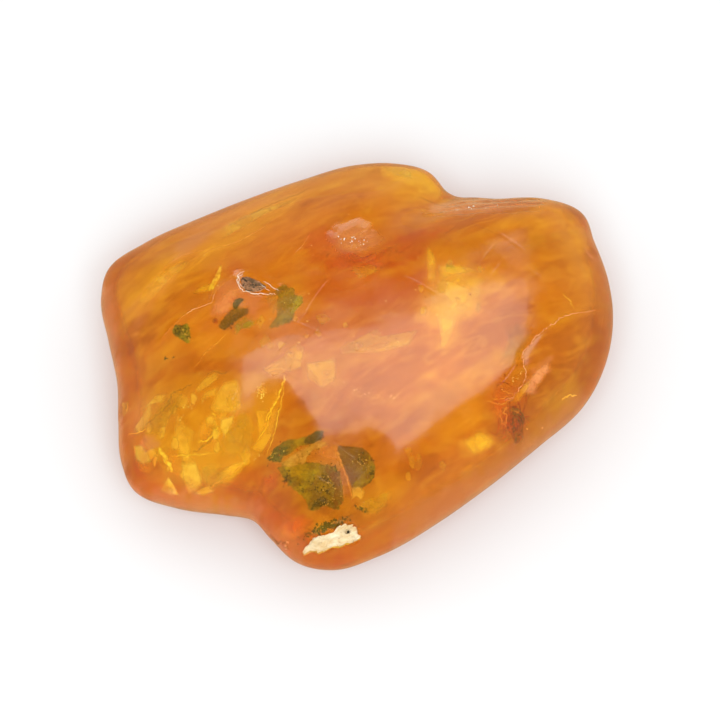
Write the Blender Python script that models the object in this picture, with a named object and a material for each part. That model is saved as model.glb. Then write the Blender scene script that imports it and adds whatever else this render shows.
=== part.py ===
"""A polished nugget of clear orange amber, 48 mm long, with plant scraps sealed inside it.

The nugget is one lump of amber.  It is parted here into an upper and a lower half along a
domed surface 2 mm under the crown, so that every sealed scrap lies in a pocket that opens
on the parting.  Units are metres, +Z is up, the flat underside rests on z = 0 and the
origin is the middle of the footprint.
"""
import math

import bmesh
import bpy
import numpy as np
from mathutils import Matrix, Vector

MM = 0.001

# Driving sizes of the nugget, in millimetres
CROWN = 15.7            # height of the crown facet before its corners are rounded off
RIM = 6.3               # mean height of the widest line round the side
RIM_LEAN = 0.6          # how much higher that line runs at the lower right
RIM_WAVE = 0.5          # and how much lower on the long sides
FACET_ROUNDING = 1.6    # per mm, larger is a crisper ridge between two facets
TOP_SQUARENESS = 3.4    # power of the fall from the crown to the rim
BASE_SHARE = 0.5        # flat underside as a share of the plan radius
BASE_POWER = 2.5

# The parting between the two halves
PARTING_DEPTH = 2.0     # below the crown facets
PARTING_PULL = 1.10     # how far the parting's own rim is drawn in from the side
PARTING_FALL = 0.95
GAP = 0.3               # left between any two solids

# Mesh density
SEGMENTS = 72
NUGGET_RINGS = 28
PARTING_RINGS = 14

# Plan outline of the widest line, anticlockwise, x and y in millimetres
OUTLINE = (
    (23.5, 0.0), (24.1, 4.3), (23.8, 8.0), (22.6, 12.5), (21.6, 15.5), (18.6, 16.8), (14.2, 16.9),
    (11.5, 17.5), (9.9, 17.8), (8.8, 18.4), (7.2, 20.4), (3.6, 21.6), (-0.1, 21.4), (-5.3, 19.5),
    (-10.9, 17.0), (-15.8, 14.6), (-20.5, 12.0), (-23.5, 9.5), (-24.1, 6.4), (-23.3, 2.0),
    (-22.3, -2.9), (-22.1, -7.0), (-21.7, -11.0), (-20.6, -13.5), (-17.1, -15.0), (-12.7, -15.7),
    (-9.7, -16.4), (-7.9, -18.5), (-5.7, -20.8), (-2.1, -21.7), (1.9, -20.4), (7.7, -16.9),
    (12.7, -13.0), (17.7, -8.5), (21.5, -4.6),
)

# Polished facets of the top: a point on the facet's upper edge, the fall in mm per mm and the
# direction of the fall in degrees from +X
FACETS = (
    (-1.4, -1.4, 0.14, 98.0),       # back slope
    (-5.6, -5.0, 0.17, 138.0),      # back left plateau
    (-8.1, -8.8, 0.34, 225.0),      # lower left lobe
    (11.4, -8.5, 0.34, -37.0),      # lower right flank
    (-3.1, -10.0, 0.30, -90.0),     # front
    (20.9, 4.0, 0.30, 8.0),         # right end
)

# Hollows and swellings of the top: height, centre x and y, half length, half width, turn
SWELLS = (
    (-2.3, 8.1, 16.0, 6.5, 2.4, 44.0),      # valley running in from the upper right notch
    (-1.3, 1.9, 19.0, 6.0, 4.0, 0.0),       # the far lobe lies lower
    (-0.35, -0.1, 9.2, 3.0, 2.4, 0.0),      # dip of the unpolished pit
    (1.9, 5.4, -16.5, 4.0, 5.5, 0.0),       # front lobe stands fuller
    (-1.1, -9.1, -13.0, 6.0, 2.3, 68.0),    # groove between the two front lobes
    (0.5, 16.9, 11.5, 5.0, 4.0, 0.0),       # upper right shoulder
)

# Sealed flat scraps: plan x and y of the middle, thickness, outline in the scrap's own plane
FLAKES = {
    "leaf_scrap_large": ((-3.7, -14.6), 0.5, (
        (-0.8, 2.8), (0.1, 2.9), (0.9, 2.5), (1.5, 1.7), (2.0, 0.7), (2.2, -0.7), (2.5, -2.0),
        (1.9, -3.1), (1.0, -3.5), (-0.4, -3.5), (-1.7, -2.8), (-2.5, -1.7), (-3.0, -0.2),
        (-2.7, 0.9), (-1.8, 1.9))),
    "leaf_scrap_wing": ((-6.3, -12.0), 0.5, (
        (-0.4, 0.8), (0.5, 0.9), (1.0, 0.6), (0.5, -0.2), (-0.2, -0.6), (-1.1, -1.0), (-2.0, -0.8),
        (-2.2, -0.1), (-1.4, 0.5))),
    "leaf_scrap_round": ((0.1, -14.0), 0.5, (
        (-1.6, 1.8), (-0.4, 1.8), (0.8, 1.5), (1.5, 0.6), (1.7, -0.4), (1.3, -1.5), (0.6, -2.1),
        (-0.4, -2.4), (-0.7, -1.5), (-1.0, -0.4), (-1.3, 0.7))),
    "leaf_scrap_olive": ((-6.4, 1.6), 0.5, (
        (-0.2, 2.6), (0.9, 2.3), (1.4, 1.3), (1.5, 0.2), (1.2, -0.8), (0.4, -1.7), (-0.8, -2.2),
        (-1.5, -2.0), (-1.4, -1.1), (-0.8, 0.1), (-0.7, 1.6))),
    "bark_blade": ((-11.1, 0.5), 0.5, (
        (1.1, 1.0), (1.3, 0.4), (0.5, -0.1), (-0.1, -0.7), (-0.7, -1.1), (-1.4, -0.6), (-1.3, 0.1),
        (-0.4, 0.4), (0.4, 0.8))),
    "moss_flake": ((-15.7, -0.2), 0.5, (
        (-0.9, 1.0), (-0.2, 1.1), (0.4, 0.6), (0.7, -0.3), (0.4, -1.0), (0.0, -1.1), (-0.6, -0.5),
        (-1.1, 0.1))),
}
FLAKE_SINK = 0.45       # middle of a flake under the parting surface

# Sealed lumps: plan x and y of the middle, sink under the parting, half sizes, turn in degrees
LUMPS = {
    "bark_comma": ((-10.5, 2.9), 0.35, (0.75, 0.42, 0.35), 35.0),
    "bark_crumb": ((-3.6, -10.9), 0.35, (0.75, 0.48, 0.35), 20.0),
    "bark_knot": ((13.9, -8.3), 0.75, (1.45, 1.75, 0.75), 15.0),
}

# The bark sliver lies in an open chip on the back left plateau
SLIVER_AT = (-9.6, 4.0)
SLIVER_SINK = 0.32
SLIVER_THICK = 0.3
SLIVER = ((-1.0, 0.5), (0.1, 0.4), (1.0, -0.1), (0.6, -0.5), (-0.3, -0.4), (-0.9, 0.0))
CHIP_HALF = (1.75, 1.05, 0.8)
CHIP_TURN = -14.0

# The pale crust fills an open pocket low on the front lobe
CRUST_AT = (-2.2, -20.0)
CRUST_DEPTH = 0.8
CRUST = (
    (-2.9, -1.3), (-2.0, 0.1), (-0.4, 0.4), (0.6, 1.5), (1.9, 1.6), (2.5, 1.1), (3.0, 0.3),
    (1.6, -0.4), (0.1, -0.6), (-0.9, -1.2), (-1.7, -1.4),
)


def clear_scene():
    """Remove every object that the file holds."""
    for item in list(bpy.data.objects):
        bpy.data.objects.remove(item, do_unlink=True)


def new_collection(name):
    """Return a new collection linked to the scene."""
    made = bpy.data.collections.new(name)
    bpy.context.scene.collection.children.link(made)
    return made


def material(name, colour, roughness, transmission=0.0):
    """Return a Principled material of one colour."""
    made = bpy.data.materials.new(name)
    made.use_nodes = True
    shader = made.node_tree.nodes["Principled BSDF"]
    shader.inputs["Base Color"].default_value = (*colour, 1.0)
    shader.inputs["Roughness"].default_value = roughness
    shader.inputs["Metallic"].default_value = 0.0
    shader.inputs["Transmission Weight"].default_value = transmission
    shader.inputs["IOR"].default_value = 1.54
    made.diffuse_color = (*colour, 1.0)
    return made


def plan_radius(angle):
    """Radius of the outline at an angle, a smooth periodic curve through OUTLINE."""
    points = np.array(OUTLINE)
    knot = np.arctan2(points[:, 1], points[:, 0]) % math.tau
    radius = np.hypot(points[:, 0], points[:, 1])
    order = np.argsort(knot)
    knot, radius = knot[order], radius[order]
    knot = np.concatenate([knot[-2:] - math.tau, knot, knot[:2] + math.tau])
    radius = np.concatenate([radius[-2:], radius, radius[:2]])
    step = np.diff(knot)
    rise = np.diff(radius) / step
    slope = np.zeros_like(radius)
    slope[1:-1] = (rise[:-1] * step[1:] + rise[1:] * step[:-1]) / (step[1:] + step[:-1])
    angle = np.asarray(angle) % math.tau
    i = np.clip(np.searchsorted(knot, angle, side="right") - 1, 0, len(knot) - 2)
    h = step[i]
    t = (angle - knot[i]) / h
    blend = (1 + 2 * t) * (1 - t) ** 2 * radius[i] + t * t * (3 - 2 * t) * radius[i + 1]
    return blend + t * (1 - t) ** 2 * h * slope[i] + t * t * (t - 1) * h * slope[i + 1]


def rim_height(angle):
    """Height of the widest line round the side."""
    return RIM + RIM_LEAN * np.cos(angle + math.radians(60)) \
        - RIM_WAVE * np.cos(2 * (angle - math.radians(65)))


def swell(x, y, middle_x, middle_y, length, width, turn):
    """One smooth hump, 1 in its middle and fading over its half length and half width."""
    c, s = math.cos(math.radians(turn)), math.sin(math.radians(turn))
    u = ((x - middle_x) * c + (y - middle_y) * s) / length
    v = ((y - middle_y) * c - (x - middle_x) * s) / width
    return np.exp(-(u * u + v * v))


def crown_height(x, y):
    """Height of the facets, the lowest of them at each place with the ridges rounded."""
    total = np.exp(-FACET_ROUNDING * CROWN) * np.ones_like(x)
    for edge_x, edge_y, fall, turn in FACETS:
        c, s = math.cos(math.radians(turn)), math.sin(math.radians(turn))
        along = (x - edge_x) * c + (y - edge_y) * s
        total = total + np.exp(-FACET_ROUNDING * (CROWN - fall * along))
    height = -np.log(total) / FACET_ROUNDING
    for amount, *place in SWELLS:
        height = height + amount * swell(x, y, *place)
    return height


def share_and_angle(x, y):
    """Polar place in the plan: share of the outline's radius, and angle."""
    angle = np.arctan2(y, x)
    return np.hypot(x, y) / plan_radius(angle), angle


def outer_height(x, y):
    """Height of the nugget's upper surface."""
    share, angle = share_and_angle(x, y)
    rim = rim_height(angle)
    fall = np.sqrt(np.clip(1 - share ** TOP_SQUARENESS, 0, 1))
    return rim + (crown_height(x, y) - rim) * fall


def base_height(x, y):
    """Height of the underside: flat in the middle and rounded up to the rim."""
    share, angle = share_and_angle(x, y)
    out = np.clip((share - BASE_SHARE) / (1 - BASE_SHARE), 0, 1)
    return rim_height(angle) * (1 - np.sqrt(1 - out ** BASE_POWER))


def parting_height(x, y, pull=PARTING_PULL):
    """Height of the parting between the halves, the outer surface drawn inwards."""
    share, angle = share_and_angle(x, y)
    rim = rim_height(angle)
    drawn = np.minimum(pull * share, 1) ** TOP_SQUARENESS
    return rim + (crown_height(x, y) - PARTING_DEPTH - rim) * np.sqrt(1 - PARTING_FALL * drawn)


def sphere_mesh(name, segments, rings):
    """A unit UV sphere as a new mesh, with its vertices as an array."""
    form = bmesh.new()
    bmesh.ops.create_uvsphere(form, u_segments=segments, v_segments=rings, radius=1.0)
    mesh = bpy.data.meshes.new(name)
    form.to_mesh(mesh)
    form.free()
    flat = np.empty(len(mesh.vertices) * 3, dtype=np.float32)
    mesh.vertices.foreach_get("co", flat)
    return mesh, flat.reshape(-1, 3).astype(float)


def add_object(name, mesh, points, home, paint=None):
    """Give a mesh its final vertices, in millimetres, and add it as an object."""
    mesh.vertices.foreach_set("co", (np.asarray(points) * MM).astype(np.float32).ravel())
    mesh.update()
    made = bpy.data.objects.new(name, mesh)
    home.objects.link(made)
    if paint:
        mesh.materials.append(paint)
        mesh.shade_smooth()
        mesh.set_sharp_from_angle(angle=math.radians(40))
    else:
        made.display_type = 'WIRE'
        made.hide_render = True
    return made


def flatten_base(mesh):
    """Join the faces of the flat underside into one."""
    form = bmesh.new()
    form.from_mesh(mesh)
    low = [face for face in form.faces if all(abs(v.co.z) < 1e-7 for v in face.verts)]
    bmesh.ops.dissolve_faces(form, faces=low, use_verts=True)
    form.to_mesh(mesh)
    form.free()


def nugget(name, home, paint=None):
    """The whole nugget: a sphere whose rings are moved to the plan, the facets and the base."""
    mesh, unit = sphere_mesh(name, SEGMENTS, NUGGET_RINGS)
    angle = np.arctan2(unit[:, 1], unit[:, 0])
    share = np.minimum(np.hypot(unit[:, 0], unit[:, 1]), 1.0)
    radius = share * plan_radius(angle)
    x, y = radius * np.cos(angle), radius * np.sin(angle)
    # the rim's own ring keeps the exact rim height on both sides
    z = np.where(unit[:, 2] > 1e-6, outer_height(x, y), base_height(x, y))
    made = add_object(name, mesh, np.stack([x, y, z], -1), home, paint)
    flatten_base(mesh)
    return made


def parting_core(name, lift, pull, home):
    """A domed block that fills everything under the parting surface, as a cutter."""
    mesh, unit = sphere_mesh(name, SEGMENTS, PARTING_RINGS * 2)
    angle = np.arctan2(unit[:, 1], unit[:, 0])
    tilt = np.arcsin(np.clip(unit[:, 2], -1, 1)) / (math.pi / 2)
    # rings run evenly from the middle to 1.3 times the outline, and back underneath
    share = (1 - np.abs(tilt)) * 1.3
    radius = share * plan_radius(angle)
    x, y = radius * np.cos(angle), radius * np.sin(angle)
    top = parting_height(x, y, pull) + lift
    z = np.where(tilt > -1e-6, top, -5.0)
    return add_object(name, mesh, np.stack([x, y, z], -1), home)


def local_frame(place, sink, surface):
    """Axes that lie along a surface at a plan place, with the origin sunk along the normal."""
    x, y = place
    step = 0.6
    rise_x = float(surface(x + step, y) - surface(x - step, y)) / (2 * step)
    rise_y = float(surface(x, y + step) - surface(x, y - step)) / (2 * step)
    normal = Vector((-rise_x, -rise_y, 1.0)).normalized()
    across = Vector((1.0, 0.0, rise_x)).normalized()
    along = normal.cross(across)
    turned = Matrix((across, along, normal)).transposed().to_4x4()
    middle = Vector((x, y, float(surface(x, y)))) - normal * sink
    return Matrix.Translation(middle * MM) @ turned


def plate(name, outline, low, high, grow, frame, home, paint=None):
    """A flat plate from a closed outline, from height low to high in its own frame.

    Each outline point is pushed out from the middle by grow, so the same call makes a scrap
    and the pocket round it.
    """
    curve = bpy.data.curves.new(name + "_outline", 'CURVE')
    curve.dimensions = '2D'
    curve.fill_mode = 'BOTH'
    curve.extrude = (high - low) / 2 * MM
    line = curve.splines.new('POLY')
    line.points.add(len(outline) - 1)
    for point, (u, v) in zip(line.points, outline):
        stretch = 1 + grow / math.hypot(u, v)
        point.co = (u * stretch * MM, v * stretch * MM, 0.0, 1.0)
    line.use_cyclic_u = True
    guide = bpy.data.objects.new(name + "_outline", curve)
    home.objects.link(guide)
    guide.matrix_world = frame @ Matrix.Translation((0.0, 0.0, (low + high) / 2 * MM))
    graph = bpy.context.evaluated_depsgraph_get()
    graph.update()
    mesh = bpy.data.meshes.new_from_object(guide.evaluated_get(graph))
    form = bmesh.new()
    form.from_mesh(mesh)
    bmesh.ops.remove_doubles(form, verts=form.verts, dist=0.00001)
    bmesh.ops.recalc_face_normals(form, faces=form.faces)
    form.to_mesh(mesh)
    form.free()
    mesh.name = name
    made = bpy.data.objects.new(name, mesh)
    home.objects.link(made)
    made.matrix_world = guide.matrix_world.copy()
    bpy.data.objects.remove(guide)
    if paint:
        mesh.materials.clear()
        mesh.materials.append(paint)
    else:
        made.display_type = 'WIRE'
        made.hide_render = True
    return made


def lump(name, half, turn, rough, frame, home, paint=None, segments=12, rings=8):
    """An ellipsoid with half sizes in millimetres, made uneven by crossing waves."""
    mesh, unit = sphere_mesh(name, segments, rings)
    wave = 1 + rough * np.sin(5 * unit[:, 0] + 2 * unit[:, 2]) * np.cos(6 * unit[:, 1] - 1)
    made = add_object(name, mesh, unit * wave[:, None] * np.array(half), home, paint)
    made.matrix_world = frame @ Matrix.Rotation(math.radians(turn), 4, 'Z')
    return made


def cut(target, cutter, operation='DIFFERENCE'):
    """Add one Boolean modifier."""
    step = target.modifiers.new(cutter.name, 'BOOLEAN')
    step.operation = operation
    step.solver = 'EXACT'
    step.object = cutter


def make_flakes(home, cutters):
    """The flat scraps, each with the pocket that opens on the parting."""
    paints = {
        "leaf": material("leaf_brown_green", (0.10, 0.09, 0.015), 0.7),
        "bark": material("bark_dark", (0.05, 0.03, 0.015), 0.8),
        "moss": material("moss_green", (0.12, 0.16, 0.03), 0.8),
    }
    pockets = []
    for name, (place, thick, outline) in FLAKES.items():
        frame = local_frame(place, FLAKE_SINK, parting_height)
        half = thick / 2
        plate(name, outline, -half, half, 0.0, frame, home, paints[name.split("_")[0]])
        top = half + FLAKE_SINK + GAP
        pockets.append(plate(name + "_pocket", outline, -half - GAP, top, GAP, frame, cutters))
    return pockets


def make_lumps(home, cutters):
    """The dark lumps, each in an oval pocket that reaches the parting."""
    paint = material("bark_red_brown", (0.09, 0.02, 0.008), 0.75)
    pockets = []
    for name, (place, sink, half, turn) in LUMPS.items():
        frame = local_frame(place, sink, parting_height)
        lump(name, half, turn, 0.10, frame, home, paint)
        room = [size * 1.1 + GAP for size in half]
        pockets.append(lump(name + "_pocket", room, turn, 0.0, frame, cutters))
    return pockets


def make_sliver(home, cutters):
    """The bark sliver and the open chip in which it lies."""
    frame = local_frame(SLIVER_AT, SLIVER_SINK, outer_height)
    half = SLIVER_THICK / 2
    paint = material("bark_grey_brown", (0.14, 0.10, 0.06), 0.8)
    plate("bark_sliver", SLIVER, -half, half, 0.0, frame, home, paint)
    mouth = local_frame(SLIVER_AT, 0.0, outer_height)
    return lump("open_chip", CHIP_HALF, CHIP_TURN, 0.0, mouth, cutters)


def make_crust(form, home, cutters):
    """The pale crust, flush with the outer surface, and its open pocket."""
    frame = local_frame(CRUST_AT, 0.0, outer_height)
    paint = material("chalk_cream", (0.72, 0.62, 0.42), 0.9)
    above = 2.0
    crust = plate("chalk_crust", CRUST, -CRUST_DEPTH, above, 0.0, frame, home, paint)
    cut(crust, form, 'INTERSECT')
    return plate("crust_pocket", CRUST, -CRUST_DEPTH - GAP, above, GAP, frame, cutters)


def make_halves(pockets, home, cutters):
    """Part the nugget and cut every pocket out of the half or halves that it touches."""
    paint = material("clear_amber", (0.75, 0.30, 0.03), 0.06, transmission=0.9)
    high = parting_core("parting_high", GAP / 2, PARTING_PULL - 0.02, cutters)
    low = parting_core("parting_low", -GAP / 2, PARTING_PULL + 0.02, cutters)
    upper = nugget("amber_upper", home, paint)
    cut(upper, high)
    lower = nugget("amber_lower", home, paint)
    cut(lower, low, 'INTERSECT')
    for pocket in pockets:
        cut(upper, pocket)
        cut(lower, pocket)


def main():
    clear_scene()
    home = new_collection("amber_with_inclusions")
    cutters = new_collection("cutters")
    form = nugget("whole_form", cutters)
    pockets = make_flakes(home, cutters) + make_lumps(home, cutters)
    pockets.append(make_sliver(home, cutters))
    pockets.append(make_crust(form, home, cutters))
    make_halves(pockets, home, cutters)


main()
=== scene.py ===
# %% [markdown]
# # A nugget of amber with plant scraps sealed inside
#
# Amber is fossil resin. This nugget was tumbled until its skin shone, and through the skin one
# sees cloudy bands, flat fracture plates, and scraps of leaf, moss and bark that the resin caught
# while it was soft. The lesson builds the stone from the outside in: first the light, then the
# clear body, then everything that it holds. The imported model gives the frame, in metres.

# %% Load the frame
import math
import bpy
import numpy as np
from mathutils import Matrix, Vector


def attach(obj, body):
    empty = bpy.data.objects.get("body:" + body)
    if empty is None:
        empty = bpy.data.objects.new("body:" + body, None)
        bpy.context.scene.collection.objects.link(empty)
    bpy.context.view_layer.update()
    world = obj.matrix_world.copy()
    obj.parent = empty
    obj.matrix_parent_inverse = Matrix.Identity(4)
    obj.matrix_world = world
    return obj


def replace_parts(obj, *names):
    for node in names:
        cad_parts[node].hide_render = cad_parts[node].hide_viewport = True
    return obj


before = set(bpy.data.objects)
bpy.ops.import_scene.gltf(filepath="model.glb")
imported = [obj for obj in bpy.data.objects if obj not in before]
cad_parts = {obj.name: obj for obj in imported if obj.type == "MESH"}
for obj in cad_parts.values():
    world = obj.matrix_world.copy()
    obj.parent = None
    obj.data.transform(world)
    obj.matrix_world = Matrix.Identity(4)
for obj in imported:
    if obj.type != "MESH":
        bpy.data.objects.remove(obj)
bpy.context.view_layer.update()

MM = 0.001

# %% [markdown]
# ## Camera
#
# The photograph looks down at the stone from about sixty degrees, from far enough away for its
# sides to stay nearly parallel. A wide lens close by would bend the outline, so the camera stands
# far off with a long lens, worked out from its distance and from how much it has to see.

# %% Camera
CAMERA_RISE = math.radians(60)
CAMERA_REACH = 0.40
FRAME_WIDTH = 0.0674
SENSOR_MM = 36.0
AIM = Vector((0.00032, 0.0, 0.006))

def add_camera():
    """A long lens at the photograph's angle, aimed at the middle of the stone."""
    lens = bpy.data.cameras.new("camera")
    lens.sensor_width = SENSOR_MM
    lens.lens = SENSOR_MM * CAMERA_REACH / FRAME_WIDTH
    lens.clip_start = 0.01
    eye = bpy.data.objects.new("camera", lens)
    bpy.context.scene.collection.objects.link(eye)
    back = Vector((0.0, -math.cos(CAMERA_RISE), math.sin(CAMERA_RISE)))
    eye.location = AIM + back * CAMERA_REACH
    eye.rotation_euler = back.to_track_quat('Z', 'Y').to_euler()
    bpy.context.scene.camera = eye
    print("camera lens in mm:", round(lens.lens))

add_camera()

# %% [markdown]
# ## Helpers for node trees
#
# Table, room and every material below are small trees of shader nodes. Nodes can be placed by
# hand in the editor, but written out they can be repeated and compared. These helpers add one
# node each and join its inputs, so that a material reads like a recipe.

# %% Node helpers
def add(tree, kind, **properties):
    """A new node with some of its properties set."""
    node = tree.nodes.new(kind)
    for key, value in properties.items():
        setattr(node, key, value)
    return node

def feed(tree, node, inputs):
    """Set or link inputs, named or numbered; three numbers on a colour input get full alpha."""
    for key, value in inputs.items():
        socket = node.inputs[key]
        if isinstance(value, bpy.types.NodeSocket):
            tree.links.new(value, socket)
        else:
            socket.default_value = (*value, 1) if socket.type == 'RGBA' else value
    return node

def maths(tree, operation, a, b=0.0, clamp=False):
    """One Math node."""
    node = add(tree, "ShaderNodeMath", operation=operation, use_clamp=clamp)
    return feed(tree, node, {0: a, 1: b}).outputs[0]

def times(tree, a, b):
    """The product of two values."""
    return maths(tree, 'MULTIPLY', a, b)

def blend(tree, amount, first, second):
    """One colour Mix node; first and second are colours or sockets."""
    node = add(tree, "ShaderNodeMix", data_type='RGBA', clamp_result=True)
    return feed(tree, node, {0: amount, 6: first, 7: second}).outputs[2]

def span(tree, value, low, high, to_low=0.0, to_high=1.0, kind='SMOOTHSTEP'):
    """Map Range from low..high to to_low..to_high."""
    node = add(tree, "ShaderNodeMapRange", interpolation_type=kind)
    return feed(tree, node, {0: value, 1: low, 2: high, 3: to_low, 4: to_high}).outputs[0]

def stretched(tree, where, turn, factors):
    """Coordinates in which a pattern is drawn out by factors along an axis turned by degrees."""
    node = add(tree, "ShaderNodeMapping", vector_type='TEXTURE')
    feed(tree, node, {0: where, "Rotation": (0, 0, math.radians(turn)), "Scale": factors})
    return node.outputs[0]

def show(tree, end, amount, first, second):
    """Mix two shaders and send them to the surface: amount 0 shows the first one alone."""
    pick = add(tree, "ShaderNodeMixShader")
    feed(tree, pick, {0: amount, 1: first.outputs[0], 2: second.outputs[0]})
    feed(tree, end, {"Surface": pick.outputs[0]})

def new_paint(name):
    """A new material: itself, its node tree and its shader."""
    paint = bpy.data.materials.new(name)
    paint.use_nodes = True
    return paint, paint.node_tree, paint.node_tree.nodes["Principled BSDF"]

print("node helpers are ready")

# %% [markdown]
# ## Table and light
#
# The stone lies on a plain white surface in an even white room. Of the two large soft boxes, one
# above and behind is seen only in reflections, and leaves the pale patch on the crown. The other
# one, in front, lights the stone and is never mirrored. A glossy surface would mirror the white
# room and lose its colour, so mirrored rays see a dim room instead, a little brighter near the
# horizon, which gives the stone its soft pale rim.

# %% Table and light
TABLE_WHITE = (0.90, 0.90, 0.90)
TABLE_MIRRORED = (0.60, 0.43, 0.25)
TABLE_HALF = 1.5
TABLE_DROP = 0.0001
ROOM_WHITE = (1, 1, 1)
ROOM_GLOW = 0.76
ROOM_OVERHEAD = 0.03
ROOM_HORIZON = 0.38
HORIZON_FALL = (0.10, 0.65)      # rise of the gaze where the glow begins to fade, and where it ends
MIRRORED_BOX = ((0.13, 0.150, 0.56), (0.60, 0.66), 2.7, 16.0)      # place, size, glow and turn
LIGHTING_BOX = ((0.02, -0.46, 0.54), (0.44, 0.44), 6.2)

def mirrored_rays(tree):
    """1 for rays that a glossy surface threw back, 0 for those that went through or scattered."""
    path = add(tree, "ShaderNodeLightPath")
    return times(tree, path.outputs["Is Glossy Ray"], path.outputs["Is Reflection Ray"])

def add_table():
    """A plain white floor just under the stone, which looks dim in the stone's mirror."""
    corners = [(-1, -1), (1, -1), (1, 1), (-1, 1)]
    mesh = bpy.data.meshes.new("table")
    mesh.from_pydata([(x * TABLE_HALF, y * TABLE_HALF, -TABLE_DROP) for x, y in corners], [],
                     [(0, 1, 2, 3)])
    paint, tree, shader = new_paint("table_white")
    feed(tree, shader, {"Base Color": TABLE_WHITE, "Roughness": 1.0, "Specular IOR Level": 0.0})
    dim = feed(tree, add(tree, "ShaderNodeBsdfDiffuse"), {"Color": TABLE_MIRRORED})
    show(tree, tree.nodes["Material Output"], mirrored_rays(tree), shader, dim)
    mesh.materials.append(paint)
    table = bpy.data.objects.new("table", mesh)
    bpy.context.scene.collection.objects.link(table)

def add_soft_box(name, place, size, glow, turn=0.0):
    """A rectangular lamp of even glow that faces straight down, turned by degrees."""
    lamp = bpy.data.lights.new(name, 'AREA')
    lamp.shape = 'RECTANGLE'
    lamp.size, lamp.size_y = size
    lamp.energy = glow * math.pi * size[0] * size[1]
    holder = bpy.data.objects.new(name, lamp)
    bpy.context.scene.collection.objects.link(holder)
    holder.location = place
    holder.rotation_euler = (0, 0, math.radians(turn))
    holder.visible_transmission = False
    return holder

def add_room():
    """An even white room; in mirrored rays it is dim overhead and brighter near the horizon."""
    world = bpy.data.worlds.new("room")
    bpy.context.scene.world = world
    world.use_nodes = True
    tree = world.node_tree
    plain = feed(tree, tree.nodes["Background"], {"Strength": ROOM_GLOW, "Color": ROOM_WHITE})
    gaze = add(tree, "ShaderNodeSeparateXYZ")
    feed(tree, gaze, {0: add(tree, "ShaderNodeTexCoord").outputs["Generated"]})
    glow = span(tree, gaze.outputs["Z"], *HORIZON_FALL, ROOM_HORIZON, ROOM_OVERHEAD, kind='LINEAR')
    dim = feed(tree, add(tree, "ShaderNodeBackground"), {"Strength": glow, "Color": ROOM_WHITE})
    show(tree, tree.nodes["World Output"], mirrored_rays(tree), plain, dim)

add_table()
add_room()
mirrored_box = add_soft_box("mirrored_box", *MIRRORED_BOX)
mirrored_box.visible_diffuse = False
lighting_box = add_soft_box("lighting_box", *LIGHTING_BOX)
lighting_box.visible_glossy = False
bpy.context.scene.view_settings.view_transform = 'Standard'
bpy.context.scene.cycles.caustics_reflective = False
bpy.context.scene.cycles.caustics_refractive = False
print("table, room and soft boxes are in place")

# %% [markdown]
# ## Tools for surfaces
#
# Every piece here is a closed skin made from two sheets that share their border. Each sheet is a
# function of a share t (0 in the middle, 1 on the border) and an angle, laid on a square grid
# that is bent round to a disc, so the cells stay even and there is no pole. Computing whole
# arrays at once keeps it quick. Gentle unevenness comes from adding sine waves that run in many
# directions, which repeats exactly on each run.

# %% Surface tools
def disc(n):
    """Share and angle on an n by n grid: squares round the middle become circles."""
    p, q = np.meshgrid(np.linspace(-1, 1, n), np.linspace(-1, 1, n), indexing="ij")
    share = np.maximum(abs(p), abs(q))
    safe_p = np.where(p == 0, 1, p)
    safe_q = np.where(q == 0, 1, q)
    sideways = (math.pi / 4) * q / safe_p + np.where(p < 0, math.pi, 0)
    upwards = math.pi / 2 - (math.pi / 4) * p / safe_q + np.where(q < 0, math.pi, 0)
    angle = np.where(abs(p) >= abs(q), sideways, upwards)
    return share, np.where(share == 0, 0.0, angle)

def add_piece(name, mesh, paint):
    """Put a finished mesh in the scene with its paint, riding on the stone's one body."""
    mesh.shade_smooth()
    mesh.materials.append(paint)
    piece = bpy.data.objects.new(name, mesh)
    bpy.context.scene.collection.objects.link(piece)
    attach(piece, "root")
    print(name, "faces:", len(mesh.polygons))
    return piece

def closed_skin(name, top, bottom, paint, marks):
    """One closed mesh from two (n, n, 3) sheets in millimetres that share their border."""
    n = top.shape[0]
    rows, columns = np.indices((n, n))
    border = (rows == 0) | (rows == n - 1) | (columns == 0) | (columns == n - 1)
    upper = np.arange(n * n).reshape(n, n)
    lower = upper.copy()
    lower[~border] = n * n + np.arange((~border).sum())

    def quads(index):
        return np.stack([index[:-1, :-1], index[1:, :-1], index[1:, 1:], index[:-1, 1:]], -1)

    faces = np.concatenate([quads(upper).reshape(-1, 4), quads(lower).reshape(-1, 4)[:, ::-1]])
    points = np.concatenate([top.reshape(-1, 3), bottom[~border]]) * MM
    mesh = bpy.data.meshes.new(name)
    mesh.from_pydata(points.tolist(), [], faces.tolist())
    for label, values in marks.items():
        field = mesh.attributes.new(label, 'FLOAT', 'POINT')
        both = np.concatenate([values.ravel(), values[~border]])
        field.data.foreach_set("value", both.astype(np.float32))
    return add_piece(name, mesh, paint)

def ripple(x, y, z, size, seed, count=14):
    """Uneven field between about -1 and 1: sine waves of about one size in many directions."""
    dice = np.random.default_rng(seed)
    total = 0.0
    for _ in range(count):
        way = dice.normal(size=3)
        way *= dice.uniform(0.6, 1.7) * math.tau / size / np.linalg.norm(way)
        total = total + np.sin(way[0] * x + way[1] * y + way[2] * z + dice.uniform(0, math.tau))
    return total / math.sqrt(count)

def soft_step(low, high, value):
    """0 below low, 1 above high, and a smooth S between them."""
    t = np.clip((value - low) / (high - low), 0, 1)
    return t * t * (3 - 2 * t)

def cubic(a, b, c, d, t):
    """Smooth stretch from b to c; its slope at each end is half the step between the neighbours."""
    return (b + t * ((c - a) / 2 + t * (a - 2.5 * b + 2 * c - d / 2
            + t * (1.5 * (b - c) + (d - a) / 2))))

def ring_place(count, angle):
    """Corner before each angle that goes once round a ring of corners, and the share past it."""
    place = (angle % math.tau) / math.tau * count
    return place.astype(int) % count, (place - np.floor(place))[..., None]

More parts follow.
